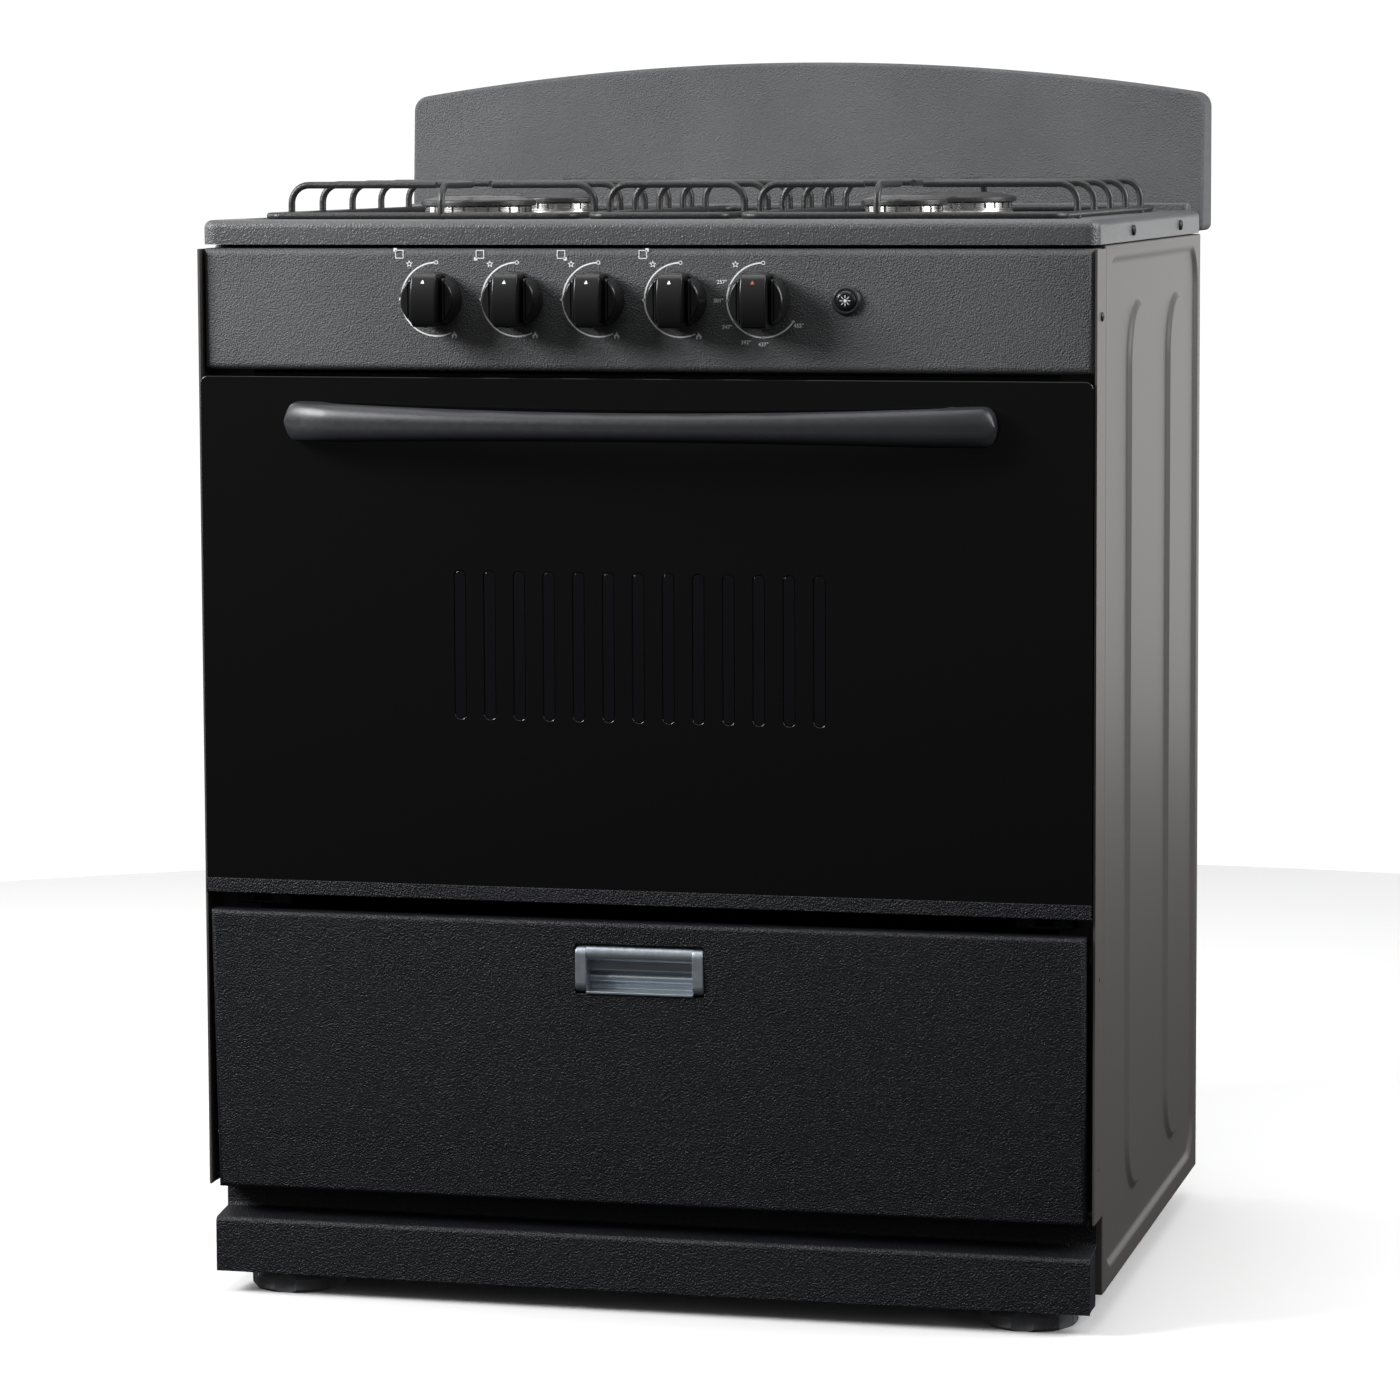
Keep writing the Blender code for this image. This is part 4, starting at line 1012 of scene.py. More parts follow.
class RANGE_OT_burners(Operator):
    """Builds the cast burner heads with their flame ports, and the enamelled caps"""
    bl_idname = "gas_range.burners"
    bl_label = "Burners"
    bl_options = {"REGISTER", "UNDO"}

    def execute(self, context):
        made = {}
        for name, x, y, radius in burner_places():
            key = round(radius, 3)
            if key not in made:
                made[key] = (Vector((x, y, 0)), self.head(x, y, radius), self.cap(x, y, radius))
            first, head, cap = made[key]
            offset = (x - first.x, y - first.y, 0)
            finished(copied(head, "head_" + name, offset), "chassis", "cast_aluminium", "burner_base_" + name)
            finished(copied(cap, "cap_" + name, offset), "burner_cap_" + name, "grate_enamel",
                     "burner_cap_" + name)
        for _, head, cap in made.values():
            bpy.data.objects.remove(head, do_unlink=True)
            bpy.data.objects.remove(cap, do_unlink=True)
        return done()

    def head(self, x, y, radius):
        given = sizes("range_hob")
        seat, top = SEAT_Z, HEAD_Z
        points = [(0, top - 0.004), (radius - 0.014, top - 0.004), (radius - 0.0125, top), (radius, top),
                  (radius, seat + 0.0040), (radius + 0.003, seat + 0.0018), (radius + 0.003, seat),
                  (radius - 0.013, seat), (radius - 0.013, seat - 0.022), (radius - 0.018, seat - 0.022),
                  (radius - 0.018, seat - 0.004), (0, seat - 0.004)]
        profile = soft_profile(points, [0, 0.001, 0.0008, 0.0008, 0.0012, 0.0005, 0.0003, 0.0006, 0.001,
                                        0.001, 0.001, 0], 3)
        head = turned("burner_head", profile, (x, y, 0), "z", 96)
        count = 28 if radius > 0.04 else 20
        port = add_block("port", (x + radius - 0.006, y - given.port_width / 2, top - 0.0052),
                         (x + radius + 0.010, y + given.port_width / 2, top + 0.010))
        return carve(head, joined("ports", turned_copies(port, count, Vector((x, y, 0)))))

    def cap(self, x, y, radius):
        seat = HEAD_Z + 0.0003
        rim = radius + 0.0035
        crown = 0.73 * radius
        points = [(0, seat + 0.0085), (crown, seat + 0.0081), (rim, seat + 0.0048), (rim, seat),
                  (radius - 0.0155, seat), (radius - 0.016, seat - 0.0025), (0, seat - 0.0025)]
        profile = soft_profile(points, [0, 0.030, 0.0022, 0.0008, 0.0006, 0.0005, 0], 6)
        return turned("burner_cap", profile, (x, y, 0), "z", 96)


class RANGE_OT_grates(Operator):
    """Builds the three wire grates: frames on studs, cross bars and fingers"""
    bl_idname = "gas_range.grates"
    bl_label = "Grates"
    bl_options = {"REGISTER", "UNDO"}

    def execute(self, context):
        self.radius = sizes("range_hob").wire
        self.bend = sizes("range_hob").bend
        low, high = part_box("grate_right")
        self.near, self.far = low.y + self.radius, high.y - self.radius
        self.frame_z, self.top_z = 0.9165, high.z - self.radius
        self.bars = [behind(0.135 + 0.0855 * i) for i in range(5)]
        for name in GRATES:
            low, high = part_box("grate_" + name)
            x_low, x_high = low.x + self.radius, high.x - self.radius
            burner = None if name == "middle" else middle_of("burner_cap_front_" + name).x
            grate = joined("wire_grate_" + name, self.wires(x_low, x_high, burner))
            finished(grate, "grate_" + name, "grate_enamel", "grate_" + name, angle=60)
        return done()

    def wires(self, x_low, x_high, burner):
        frame_z, top_z, near, far = self.frame_z, self.top_z, self.near, self.far
        corners = [(x_low, near, frame_z), (x_high, near, frame_z), (x_high, far, frame_z),
                   (x_low, far, frame_z)]
        made = [self.bent("frame", corners, 0.014, closed=True)]
        for i, y in enumerate(self.bars):
            if burner is None or i == 2:
                made.append(self.bent("bar", [(x_low, y, frame_z), (x_low, y, top_z), (x_high, y, top_z),
                                              (x_high, y, frame_z)], self.bend))
            else:
                made.append(self.bent("bar", [(x_low, y, frame_z), (x_low, y, top_z),
                                              (burner - 0.025, y, top_z)], self.bend))
                made.append(self.bent("bar", [(burner + 0.025, y, top_z), (x_high, y, top_z),
                                              (x_high, y, frame_z)], self.bend))
        if burner is not None:
            for start, end in ((near, behind(0.155)), (far, behind(0.460))):
                made.append(self.bent("finger", [(burner, start, frame_z), (burner, start, top_z),
                                                 (burner, end, top_z)], self.bend))
            made.append(self.bent("spine", [(burner, behind(0.2175), top_z),
                                            (burner, behind(0.3985), top_z)], 0))
        profile = soft_profile([(0, frame_z), (0.0034, frame_z), (0.0034, SEAT_Z), (0, SEAT_Z)],
                               [0, 0.001, 0.0008, 0], 2)
        for x in (x_low, x_high):
            for y in (self.bars[0], self.bars[-1]):
                made.append(turned("stud", profile, (x, y, 0), "z", 16))
        return made

    def bent(self, name, corners, bend, closed=False):
        return wire(name, rounded(corners, bend, 7, closed), self.radius, closed, 4)


# ---------------------------------------------------------------- controls
class RANGE_OT_control_panel(Operator):
    """Builds the control panel with its holes"""
    bl_idname = "gas_range.control_panel"
    bl_label = "Control panel"
    bl_options = {"REGISTER", "UNDO"}

    def execute(self, context):
        given = sizes("range_shell")
        low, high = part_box("control_panel")
        panel = add_block("fascia", low, high)
        edit(panel)
        soften(lambda e: all(co.y < low.y + 0.001 for co in ends(e)), given.panel_edge, 6)
        leave()
        hollow = add_block("hollow", (low.x + 0.004, low.y + 0.0015, low.z + 0.003),
                           (high.x - 0.004, high.y + 0.02, high.z - 0.003))
        edit(hollow)
        soften(lambda e: all(co.y < low.y + 0.002 for co in ends(e)), 0.004, 4)
        leave()
        carve(panel, hollow)
        holes = []
        for i in range(6):
            x, hole_radius = control_x(i), 0.0060 if i < 5 else 0.0103
            holes.append(add_bar("hole", (x, low.y - 0.01, CONTROL_Z), (x, low.y + 0.012, CONTROL_Z),
                                 hole_radius, 32))
        carve(panel, joined("holes", holes))
        modify(panel, "BEVEL", width=0.0004, segments=2, limit_method="ANGLE", angle_limit=math.radians(50))
        finished(panel, "chassis", "graphite_paint", "control_panel")
        return done()


class RANGE_OT_knobs(Operator):
    """Builds the five knobs: a turned skirt with shoulders and an arched grip, and its pointer"""
    bl_idname = "gas_range.knobs"
    bl_label = "Knobs"
    bl_options = {"REGISTER", "UNDO"}

    reach = 0.0220
    arch = 0.0080
    drum = 0.0265

    def execute(self, context):
        low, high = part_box("knob_rear_left")
        x, back, radius = control_x(0), high.y, KNOB_RADIUS
        depth = high.y - low.y
        points = [(0, self.drum), (0.0214, self.drum), (0.0226, self.drum - 0.0013), (radius, 0.0040),
                  (radius, 0.0), (0, 0.0)]
        knob = turned("dial", soft_profile(points, [0, 0.0012, 0.0010, 0.0014, 0.0005, 0], 4),
                      (x, back, CONTROL_Z), "-y", 96)
        half, groove = sizes("range_controls").grip_half, sizes("range_controls").groove
        grip = self.grip("grip", x, back, half, self.reach, depth, self.arch, 0.0013)
        slots = []
        deep = (half - 0.0002, groove, 0.0125)
        fine = (half + groove + 0.0012, 0.0011, self.drum - 0.0030)
        for _, sign in SIDES:
            for start, width, floor in (deep, fine):
                xs = sorted((x + sign * start, x + sign * (start + width)))
                slots.append(add_block("groove", (xs[0], back - depth - 0.01, CONTROL_Z - 0.03),
                                       (xs[1], back - floor, CONTROL_Z + 0.03)))
        merge_in(knob, grip)
        carve(knob, joined("grooves", slots))
        carve(knob, add_bar("bore", (x, back - 0.0175, CONTROL_Z), (x, back + 0.01, CONTROL_Z), 0.0042, 24))
        modify(knob, "BEVEL", width=0.00035, segments=2, limit_method="ANGLE", angle_limit=math.radians(40))
        arrow = [(x - 0.0017, CONTROL_Z + 0.0140), (x + 0.0017, CONTROL_Z + 0.0140), (x, CONTROL_Z + 0.0172)]
        front = back - depth
        pointer = plate("pointer", rounded(arrow, 0.0003, 2, closed=True), front - 0.0001, front + 0.0045, "y")
        sunk = lambda co: 0.0004 if co.y > front + 0.002 else -0.00015
        shape(pointer, lambda co: Vector((co.x, self.face_y(back, depth, co.z) + sunk(co), co.z)))
        for i, name in enumerate(KNOBS):
            offset = (control_x(i) - x, 0, 0)
            body = "knob_" + name
            finished(copied(knob, "dial_" + name, offset), body, "gloss_plastic", "knob_" + name, angle=40)
            finished(copied(pointer, "pointer_" + name, offset), body,
                     "amber_ink" if name == "oven" else "white_ink")
        for ob in (knob, pointer):
            bpy.data.objects.remove(ob, do_unlink=True)
        return done()

    def face_y(self, back, depth, z):
        """Y of the grip's arched face at a height."""
        share = max(-1.0, min(1.0, (z - CONTROL_Z) / self.reach))
        return back - depth + self.arch * (1 - math.sqrt(1 - share * share))

    def grip(self, name, x, back, half, reach, depth, arch, edge):
        """A bar across the knob whose face is arched from end to end."""
        outline = [(back - 0.002, CONTROL_Z - reach)]
        for k in range(25):
            turn = math.pi * (k / 24 - 0.5)
            outline.append((back - depth + arch * (1 - math.cos(turn)), CONTROL_Z + reach * math.sin(turn)))
        outline.append((back - 0.002, CONTROL_Z + reach))
        made = plate(name, outline, x - half, x + half, "x")
        modify(made, "BEVEL", width=edge, segments=3, limit_method="ANGLE", angle_limit=math.radians(45))
        return made


class RANGE_OT_light_switch(Operator):
    """Builds the oven light's push button, its bezel and its sign"""
    bl_idname = "gas_range.light_switch"
    bl_label = "Light switch"
    bl_options = {"REGISTER", "UNDO"}

    def execute(self, context):
        x = control_x(5)
        centre = (x, PANEL_FACE, CONTROL_Z)
        ring = [(0.0088, 0.0036), (0.0105, 0.0040), (0.0122, 0.0016), (0.0122, 0.0003), (0.0101, 0.0003),
                (0.0101, -0.014), (0.0088, -0.014)]
        profile = soft_profile(ring, [0.0004, 0.0008, 0.0005, 0, 0, 0, 0], 3)
        bezel = turned("light_ring", profile + [profile[0]], centre, "-y", 72)
        finished(bezel, "chassis", "handle_plastic", "light_bezel")
        points = [(0, 0.0064), (0.0064, 0.0060), (0.0084, 0.0044), (0.0084, -0.0120), (0, -0.0120)]
        cap = turned("light_cap", soft_profile(points, [0, 0.0030, 0.0012, 0.0004, 0], 5), centre, "-y", 72)
        finished(cap, "light_button", "gloss_plastic", "light_button")
        face = PANEL_FACE - 0.0063
        marks = [plate("sun", circle((x, CONTROL_Z), 0.0014, 20), face - 0.0002, face + 0.0004, "y")]
        ray = add_block("ray", (x - 0.00032, face - 0.0002, CONTROL_Z + 0.0022),
                        (x + 0.00032, face + 0.0006, CONTROL_Z + 0.0044))
        marks += turned_copies(ray, 8, Vector(centre), 0.0, "Y")
        finished(joined("light_sign", marks), "light_button", "white_ink")
        return done()


class RANGE_OT_printed_marks(Operator):
    """Prints the arcs, figures and signs round the knobs"""
    bl_idname = "gas_range.printed_marks"
    bl_label = "Printed marks"
    bl_options = {"REGISTER", "UNDO"}

    def execute(self, context):
        given = sizes("range_controls")
        self.low, self.high = PANEL_FACE - given.ink, PANEL_FACE + 0.0004
        radius = given.arc_radius
        marks = []
        for i, name in enumerate(KNOBS):
            x = control_x(i)
            is_oven = name == "oven"
            last = -35 if is_oven else -66
            marks.append(self.arc(x, radius, 93, 360 + last, 0.00062))
            marks.append(self.outline(circle((x, CONTROL_Z + radius), 0.0017, 20), 0.0006))
            marks.append(self.outline(self.star((x - 0.0233, CONTROL_Z + 0.0292)), 0.0006))
            if is_oven:
                for angle, figure in ((157, "257"), (181, "301"), (216, "347"), (247, "392"), (270, "437"),
                                      (325, "455")):
                    marks.append(self.dot(x, radius, angle, 0.0011))
                    marks.append(self.figure(x, radius + given.figure * (1.55 if angle < 260 else 1.25), angle,
                                             figure + "°", given.figure))
            else:
                marks.append(self.dot(x, radius + 0.0007, 180, 0.0013))
                marks.append(self.flame((x + 0.0152, CONTROL_Z - 0.0298)))
                marks += self.position(name, (x - 0.0318, CONTROL_Z + 0.0372))
        finished(joined("printed_marks", marks), "chassis", "white_ink")
        return done()

    def point(self, x, radius, angle):
        turn = math.radians(angle)
        return (x + radius * math.cos(turn), CONTROL_Z + radius * math.sin(turn))

    def flat(self, outline):
        return plate("mark", outline, self.low, self.high, "y")

    def outline(self, outline, width):
        """A closed line of one width round a shape."""
        made = flat_face("mark", outline, "y", self.low, -1)
        edit(made)
        pick_all()
        bpy.ops.mesh.inset(thickness=width)
        bpy.ops.mesh.delete(type="FACE")
        pick_all()
        bpy.ops.mesh.extrude_region_move(TRANSFORM_OT_translate={"value": (0, self.high - self.low, 0)})
        face_out()
        return made

    def arc(self, x, radius, start, end, half):
        angles = [start + (end - start) * k / 64 for k in range(65)]
        outline = [self.point(x, radius + half, a) for a in angles]
        outline += [self.point(x, radius - half, a) for a in reversed(angles)]
        return self.flat(outline)

    def dot(self, x, radius, angle, size):
        return self.flat(circle(self.point(x, radius, angle), size, 16))

    def star(self, centre):
        points = []
        for k in range(10):
            reach = 0.0032 if k % 2 == 0 else 0.0015
            turn = math.pi / 2 + math.pi * k / 5
            points.append(Vector((centre[0] + reach * math.cos(turn), centre[1] + reach * math.sin(turn), 0)))
        return points

    def flame(self, centre):
        x, z = centre
        shape_of = [(0, 0.0034), (0.0012, 0.0012), (0.0024, 0.0004), (0.0022, -0.0016), (0.0008, -0.0026),
                    (0.0010, -0.0010), (0, 0.0002), (-0.0010, -0.0010), (-0.0008, -0.0026),
                    (-0.0022, -0.0016), (-0.0024, 0.0004), (-0.0012, 0.0012)]
        return self.flat([(x + a, z + b) for a, b in shape_of])

    def position(self, name, centre):
        """A square for the hob with a filled corner for the burner."""
        row, column = name.split("_")
        half = 0.0036
        marks = [self.outline(round_corners((centre[0] - half, centre[1] - half),
                                            (centre[0] + half, centre[1] + half), 0.0006, 2), 0.0007)]
        x = centre[0] + (half if column == "right" else -half)
        z = centre[1] + (half if row == "rear" else -half)
        marks.append(self.flat(round_corners((x - 0.0015, z - 0.0015), (x + 0.0015, z + 0.0015), 0.0005, 2)))
        return marks

    def figure(self, x, radius, angle, body, size):
        clear_selection()
        at = self.point(x, radius, angle)
        bpy.ops.object.text_add(rotation=(math.pi / 2, 0, 0))
        text = bpy.context.object
        text.data.body = body
        text.data.size = size
        text.data.align_x = "CENTER"
        text.data.align_y = "CENTER"
        text.data.extrude = (self.high - self.low) / 2
        text.data.resolution_u = 3
        text.data.offset = 0.00005
        bpy.ops.object.convert(target="MESH")
        text = bpy.context.object
        text.location = (at[0], (self.low + self.high) / 2, at[1])
        settle(text)
        edit(text)
        pick_all()
        bpy.ops.mesh.remove_doubles(threshold=DOUBLES)
        leave()
        return text


# ---------------------------------------------------------------- oven door
class RANGE_OT_door_glass(Operator):
    """Builds the printed door glass with its slotted window"""
    bl_idname = "gas_range.door_glass"
    bl_label = "Door glass"
    bl_options = {"REGISTER", "UNDO"}

    def execute(self, context):
        given = sizes("range_door")
        low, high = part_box("door_glass")
        glass = add_block("printed_glass", low, high)
        edit(glass)
        soften(lambda e: runs_along(e, 1), given.glass_corner, 6)
        leave()
        half = given.slot_width / 2
        first = -given.slot_pitch * (given.slot_count - 1) / 2
        columns = [first + given.slot_pitch * k for k in range(given.slot_count)]

        def slot(x, less, near, far):
            outline = round_corners((x - half + less, given.slot_low + less),
                                    (x + half - less, given.slot_high - less), (half - less) * 0.98, 8)
            return plate("slot", outline, near, far, "y")

        carve(glass, joined("slots", [slot(x, 0.0, low.y - 0.01, high.y + 0.01) for x in columns]))
        modify(glass, "BEVEL", width=given.glass_polish, segments=3, limit_method="ANGLE",
               angle_limit=math.radians(50))
        finished(glass, "oven_door", "black_glass", "door_glass")
        panes = joined("slot_panes", [slot(x, 0.0002, low.y + 0.0005, high.y - 0.0005) for x in columns])
        modify(panes, "BEVEL", width=0.0005, segments=3, limit_method="ANGLE")
        finished(panes, "oven_door", "smoked_glass")
        return done()


class RANGE_OT_door_trim(Operator):
    """Builds the folded strip under the door"""
    bl_idname = "gas_range.door_trim"
    bl_label = "Door trim"
    bl_options = {"REGISTER", "UNDO"}

    def execute(self, context):
        low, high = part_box("door_trim")
        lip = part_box("door_glass")[0].y - 0.0003
        sheet = 0.0012
        section = [(low.y, low.z), (high.y, low.z), (high.y, low.z + sheet), (lip, low.z + sheet),
                   (lip, high.z), (low.y, high.z)]
        outline = rounded(section, [0.0011, 0.0004, 0.0004, 0.0003, 0.0004, 0.0005], 4, closed=True)
        trim = plate("door_strip", outline, low.x, high.x, "x")
        modify(trim, "BEVEL", width=0.0003, segments=2, limit_method="ANGLE", angle_limit=math.radians(60))
        finished(trim, "oven_door", "shaded_graphite_paint", "door_trim")
        return done()


class RANGE_OT_door_handle(Operator):
    """Builds the bowed handle whose ends turn in to the glass"""
    bl_idname = "gas_range.door_handle"
    bl_label = "Door handle"
    bl_options = {"REGISTER", "UNDO"}

    def execute(self, context):
        given = sizes("range_door")
        low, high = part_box("door_handle")
        self.half, self.front, self.seat = high.x, low.y, high.y
        self.middle_z, self.thick, self.tip = 0.747, 0.014, 0.0115
        section = [(self.front, -0.0130), (self.front + self.thick, -0.0130),
                   (self.front + self.thick, 0.0105), (self.front, 0.0105)]
        edge = given.handle_edge
        outline = [(p.x, p.y + self.middle_z)
                   for p in rounded(section, [edge, 0.0025, 0.0025, edge], 9, closed=True)]
        bar = plate("handle_bar", outline, -self.half, self.half, "x")
        edit(bar)
        pick("EDGE", lambda e: runs_along(e, 0))
        bpy.ops.mesh.subdivide(number_cuts=159)
        leave()
        shape(bar, self.bowed)
        edit(bar)
        soften(lambda e: all_at(e, 0, -self.half) or all_at(e, 0, self.half), 0.0008, 3)
        leave()
        finished(bar, "oven_door", "handle_plastic", "door_handle", angle=50)
        return done()

    def bowed(self, co):
        co.x = self.half * math.sin(math.pi / 2 * max(-1.0, min(1.0, co.x / self.half)))
        share = min(1.0, abs(co.x) / self.half)
        end = max(0.0, (abs(co.x) - 0.255) / (self.half - 0.255))
        front = self.front + 0.022 * share ** 2 + 0.010 * end ** 2
        turn_in = max(0.0, min(1.0, (abs(co.x) - 0.252) / 0.022))
        turn_in = turn_in * turn_in * (3 - 2 * turn_in)
        back = self.front + 0.022 * share ** 2 + self.thick
        back += (self.seat - back) * turn_in
        top = 0.0105 + 0.0070 * share ** 2 - 0.001 * end ** 3
        bottom = -0.0130 - 0.0045 * share ** 2 + 0.001 * end ** 3
        height = co.z - self.middle_z
        height = height / 0.0105 * top if height > 0 else height / -0.0130 * bottom
        tip = min(1.0, max(0.0, (abs(co.x) - self.half + self.tip) / self.tip))
        centre = (top + bottom) / 2
        z = self.middle_z + centre + (height - centre) * max(0.2, (1 - tip ** 2.5) ** 0.4)
        near = co.y - self.front < self.thick / 2
        y = front + (co.y - self.front) if near else back + (co.y - self.front - self.thick)
        return Vector((co.x, y, z))


# ---------------------------------------------------------------- storage flap
class RANGE_OT_storage_flap(Operator):
    """Builds the leaning flap with its opening for the pull"""
    bl_idname = "gas_range.storage_flap"
    bl_label = "Storage flap"
    bl_options = {"REGISTER", "UNDO"}

    def execute(self, context):
        given = sizes("range_door")
        low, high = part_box("storage_flap")
        half, reach = 0.3741, 0.018
        front = behind(0.003)
        flap = add_block("flap_sheet", (-half, front, low.z), (half, front + reach, high.z))
        lean = lambda z: 0.012 * (z - low.z) / (high.z - low.z)
        shape(flap, lambda co: Vector((co.x, co.y - lean(co.z), co.z)))
        edit(flap)
        soften(lambda e: all(co.y < front - lean(co.z) + 0.001 for co in ends(e)), given.flap_edge, 6)
        pick("FACE", lambda face: all(vert.co.y > front + reach - lean(vert.co.z) - 0.001
                                      for vert in face.verts))
        bpy.ops.mesh.delete(type="FACE")
        leave()
        modify(flap, "SOLIDIFY", thickness=0.0015, offset=-1.0)
        carve(flap, plate("opening", round_corners((-0.055, 0.272), (0.055, 0.3145), 0.0015, 3),
                          behind(-0.05), behind(0.006), "y"))
        modify(flap, "BEVEL", width=0.0004, segments=2, limit_method="ANGLE", angle_limit=math.radians(50))
        pin_y, pin_z = behind(0.012), 0.101
        pins = [add_bar("pin", (sign * 0.3725, pin_y, pin_z), (sign * 0.3781, pin_y, pin_z), 0.003, 20)
                for _, sign in SIDES]
        finished(joined("flap_sheet", [flap] + pins), "flap", "shaded_graphite_paint", "storage_flap")
        return done()


class RANGE_OT_flap_pull(Operator):
    """Builds the moulded pull: end caps, a round top bar and the scooped pocket behind it"""
    bl_idname = "gas_range.flap_pull"
    bl_label = "Flap pull"
    bl_options = {"REGISTER", "UNDO"}

    def execute(self, context):
        low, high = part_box("flap_pull")
        front, floor = low.y, high.y
        inner = floor - 0.0020
        section = [(floor, low.z), (floor, high.z), (front + 0.0008, high.z), (front + 0.0008, high.z - 0.0146),
                   (front + 0.0080, high.z - 0.0146), (front + 0.0080, high.z - 0.0040),
                   (inner, high.z - 0.0040), (inner, low.z + 0.0165), (inner - 0.0062, low.z + 0.0140),
                   (inner - 0.0062, low.z + 0.0088), (inner - 0.0010, low.z + 0.0060),
                   (inner - 0.0010, low.z + 0.0020), (front + 0.0012, low.z + 0.0020), (front + 0.0012, low.z)]
        radii = [0.0005, 0.0008, 0.0072, 0.0060, 0.0012, 0.0020, 0.0022, 0.0030, 0.0028, 0.0024, 0.0012, 0.0010,
                 0.0005, 0.0005]
        cup = plate("pull_cup", rounded(section, radii, 5, closed=True), -0.0456, 0.0456, "x")
        caps = []
        for _, sign in SIDES:
            xs = sorted((sign * 0.0454, sign * high.x))
            cap = add_block("end_cap", (xs[0], front, low.z), (xs[1], floor, high.z))
            edit(cap)
            soften(lambda e: runs_along(e, 0) and all(co.y < front + 0.001 for co in ends(e)), 0.0095, 8)
            leave()
            modify(cap, "BEVEL", width=0.0008, segments=3, limit_method="ANGLE", angle_limit=math.radians(50))
            caps.append(cap)
        finished(joined("pull_cup", [cup] + caps), "flap", "pull_plastic", "flap_pull")
        return done()


# ---------------------------------------------------------------- oven inside
class RANGE_OT_oven_rack(Operator):
    """Builds the wire rack of the oven"""
    bl_idname = "gas_range.oven_rack"
    bl_label = "Oven rack"
    bl_options = {"REGISTER", "UNDO"}

    def execute(self, context):
        low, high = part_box("oven_rack")
        thick, thin = 0.003, 0.0018
        z = low.z + thick
        corners = [(low.x + thick, low.y + thick, z), (high.x - thick, low.y + thick, z),
                   (high.x - thick, high.y - thick, z), (low.x + thick, high.y - thick, z)]
        wires = [wire("rack_frame", rounded(corners, 0.016, 6, closed=True), thick, closed=True)]
        for k in range(19):
            x = -0.234 + 0.026 * k
            wires.append(wire("rack_wire", [Vector((x, low.y + thick, z)), Vector((x, high.y - thick, z))],
                              thin))
        for share in (0.33, 0.67):
            y = low.y + (high.y - low.y) * share
            wires.append(wire("rack_stay", [Vector((low.x + thick, y, z - 0.0006)),
                                            Vector((high.x - thick, y, z - 0.0006))], 0.0022))
        finished(joined("rack_wires", wires), "rack", "bright_wire", "oven_rack", angle=60)
        return done()


class RANGE_OT_frame_finishes(Operator):
    """Gives the pieces of the frame that stay as they are their finishes"""
    bl_idname = "gas_range.frame_finishes"
    bl_label = "Frame finishes"
    bl_options = {"REGISTER", "UNDO"}

    kept = {
        "left_front_post": "side_paint", "right_front_post": "side_paint", "base_pan": "shaded_graphite_paint",
        # Painted shade: the hinge brackets take the darkest paint so that the gap round them reads dark, as
        # shade.
        "left_hinge_bracket": "shaded_graphite_paint", "right_hinge_bracket": "shaded_graphite_paint",
        "oven_liner": "oven_enamel", "oven_bottom_plate": "oven_enamel", "oven_burner": "zinc_plate",
        "oven_lamp": "clear_glass", "oven_thermostat": "valve_brass", "door_seal": "seal_cord",
        "door_frame": "oven_enamel", "door_window_glass": "clear_glass", "gas_manifold": "nickel_plate",
        "valve_rear_left": "valve_brass", "valve_front_left": "valve_brass",
        "valve_front_right": "valve_brass", "valve_rear_right": "valve_brass",
        "spindle_rear_left": "nickel_plate", "spindle_front_left": "nickel_plate",
        "spindle_front_right": "nickel_plate", "spindle_rear_right": "nickel_plate",
        "spindle_oven": "nickel_plate",
    }

    def execute(self, context):
        for name, finish in self.kept.items():
            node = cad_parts[name]
            node.data.materials.clear()
            node.data.materials.append(finish_of(finish))
        return done()


# ---------------------------------------------------------------- stage
def aim(ob, target):
    ob.rotation_euler = (Vector(target) - ob.location).to_track_quat("-Z", "Y").to_euler()


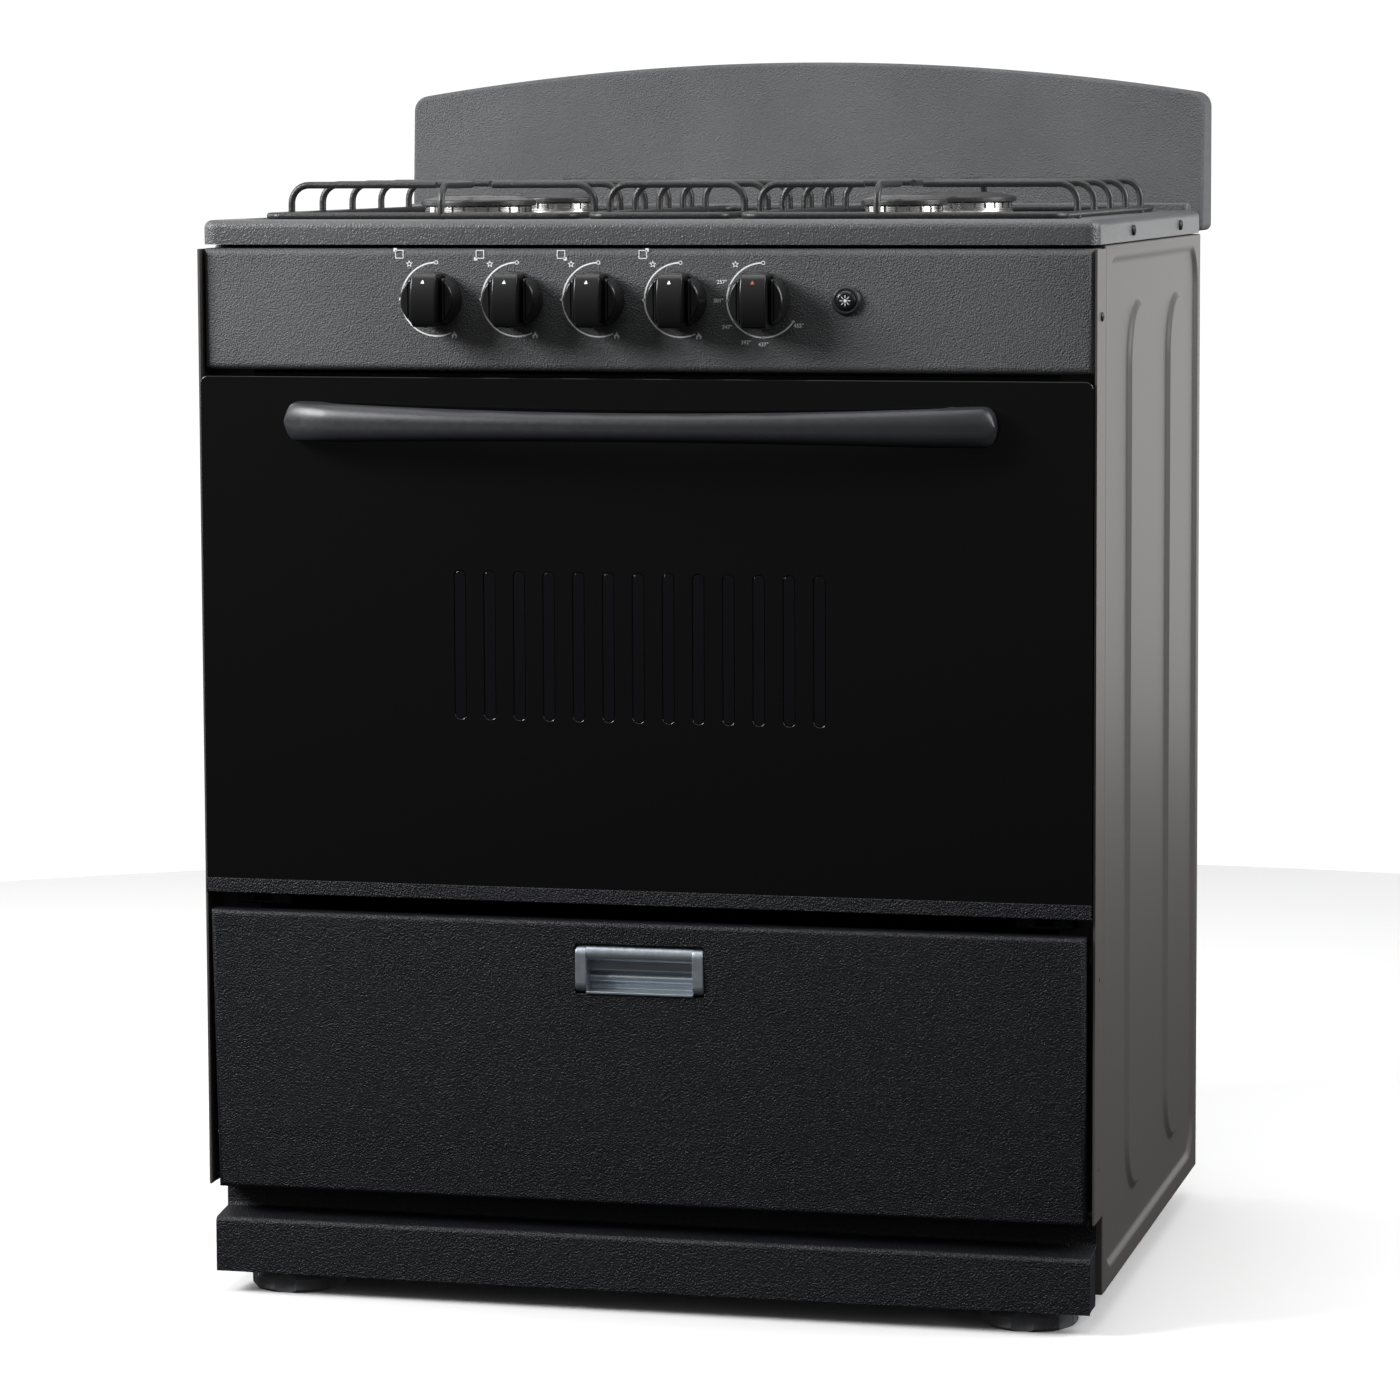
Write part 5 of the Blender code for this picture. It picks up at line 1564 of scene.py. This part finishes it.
class RANGE_OT_stage(Operator):
    """Builds the pale floor, the soft lights and the camera"""
    bl_idname = "gas_range.stage"
    bl_label = "Stage"
    bl_options = {"REGISTER", "UNDO"}

    lights = (                   # name, place, size, power, target
        ("key_light", (-1.85, -1.40, 1.85), (1.1, 0.9), 82.0, (-0.35, -0.3, 0.80)),
        ("side_light", (2.00, -0.10, 1.50), (1.2, 1.4), 44.0, (0.38, 0.0, 0.4)),
        ("top_light", (0.0, -0.2, 3.4), (3.0, 3.0), 50.0, (0, -0.2, 0.0)),
        ("back_light", (-1.2, 2.9, 2.2), (2.0, 1.6), 10.0, (0, 0, 0.6)),
        ("rear_card", (1.15, 3.3, 0.65), (1.3, 1.2), 8.0, (0.5, 0.0, 0.6)),
        ("left_light", (-3.0, 0.6, 1.6), (1.6, 1.6), 30.0, (-0.38, 0, 0.5)),
    )
    floor_radius = 2.4
    camera_place = (1.02145, -4.25655, 0.97168)
    camera_yaw, camera_pitch, camera_roll = 13.799, 5.376, -0.2397
    camera_lens, camera_shift = 127.63, -0.06

    def execute(self, context):
        clear_selection()
        bpy.ops.mesh.primitive_circle_add(vertices=128, radius=self.floor_radius, fill_type="NGON",
                                         location=(0, 0, 0))
        floor = named("studio_floor")
        floor.data.materials.append(finish_of("studio_floor"))
        floor.visible_diffuse = floor.visible_glossy = False
        for name, at, size, power, target in self.lights:
            clear_selection()
            bpy.ops.object.light_add(type="AREA", location=at)
            light = bpy.context.object
            light.name = name
            light.data.shape = "RECTANGLE"
            light.data.size, light.data.size_y = size
            light.data.energy = power
            light.visible_camera = False
            aim(light, target)
        self.surround()
        bpy.ops.object.camera_add()
        camera = bpy.context.object
        camera.name = "main_camera"
        camera.data.sensor_width = 36.0
        camera.data.lens = self.camera_lens
        camera.data.shift_y = self.camera_shift
        camera.data.clip_end = 60.0
        camera.matrix_world = (Matrix.Translation(self.camera_place)
                               @ Matrix.Rotation(math.radians(self.camera_yaw), 4, "Z")
                               @ Matrix.Rotation(math.radians(90 - self.camera_pitch), 4, "X")
                               @ Matrix.Rotation(math.radians(self.camera_roll), 4, "Z"))
        bpy.context.scene.camera = camera
        bpy.context.scene.view_settings.view_transform = "Standard"
        return done()

    def surround(self):
        """A white backdrop, with a dimmer grey all round for what the range reflects."""
        world = bpy.data.worlds.new("studio")
        bpy.context.scene.world = world
        world.use_nodes = True
        tree = world.node_tree
        tree.nodes.clear()
        place = tree.nodes.new("ShaderNodeTexCoord")
        split = tree.nodes.new("ShaderNodeSeparateXYZ")
        fade = tree.nodes.new("ShaderNodeMapRange")
        fade.inputs["From Min"].default_value = -0.2
        fade.inputs["From Max"].default_value = 1.0
        fade.inputs["To Min"].default_value = 0.02
        fade.inputs["To Max"].default_value = 0.50
        around = tree.nodes.new("ShaderNodeBackground")
        backdrop = tree.nodes.new("ShaderNodeBackground")
        backdrop.inputs["Color"].default_value = (1, 1, 1, 1)
        backdrop.inputs["Strength"].default_value = 1.05
        ray = tree.nodes.new("ShaderNodeLightPath")
        mix = tree.nodes.new("ShaderNodeMixShader")
        out = tree.nodes.new("ShaderNodeOutputWorld")
        tree.links.new(place.outputs["Generated"], split.inputs[0])
        tree.links.new(split.outputs["Z"], fade.inputs["Value"])
        tree.links.new(fade.outputs["Result"], around.inputs["Color"])
        tree.links.new(ray.outputs["Is Camera Ray"], mix.inputs["Fac"])
        tree.links.new(around.outputs[0], mix.inputs[1])
        tree.links.new(backdrop.outputs[0], mix.inputs[2])
        tree.links.new(mix.outputs[0], out.inputs["Surface"])


STEPS = (RANGE_OT_side_panels, RANGE_OT_rear_cover, RANGE_OT_plinth, RANGE_OT_feet, RANGE_OT_backguard,
         RANGE_OT_cooktop, RANGE_OT_burners, RANGE_OT_grates, RANGE_OT_control_panel, RANGE_OT_knobs,
         RANGE_OT_light_switch, RANGE_OT_printed_marks, RANGE_OT_door_glass, RANGE_OT_door_trim,
         RANGE_OT_door_handle, RANGE_OT_storage_flap, RANGE_OT_flap_pull, RANGE_OT_oven_rack,
         RANGE_OT_frame_finishes, RANGE_OT_stage)


class RANGE_PT_sidebar(Panel):
    """Lists the range's sizes, colours and building steps"""
    bl_idname = "RANGE_PT_sidebar"
    bl_label = "Gas range"
    bl_space_type = "VIEW_3D"
    bl_region_type = "UI"
    bl_category = "Gas range"

    def draw(self, context):
        for group, kind in GROUPS.items():
            box = self.layout.box()
            for name in kind.__annotations__:
                box.prop(getattr(context.scene, group), name)
        for step in STEPS:
            self.layout.operator(step.bl_idname)


def register():
    for kind in (*GROUPS.values(), *STEPS, RANGE_PT_sidebar):
        bpy.utils.register_class(kind)
    for group, kind in GROUPS.items():
        setattr(bpy.types.Scene, group, PointerProperty(type=kind))


def unregister():
    for group in GROUPS:
        delattr(bpy.types.Scene, group)
    for kind in reversed((*GROUPS.values(), *STEPS, RANGE_PT_sidebar)):
        bpy.utils.unregister_class(kind)


def main():
    register()
    for step in STEPS:
        family, name = step.bl_idname.split(".")
        getattr(getattr(bpy.ops, family), name)()


if __name__ == "__main__":
    main()
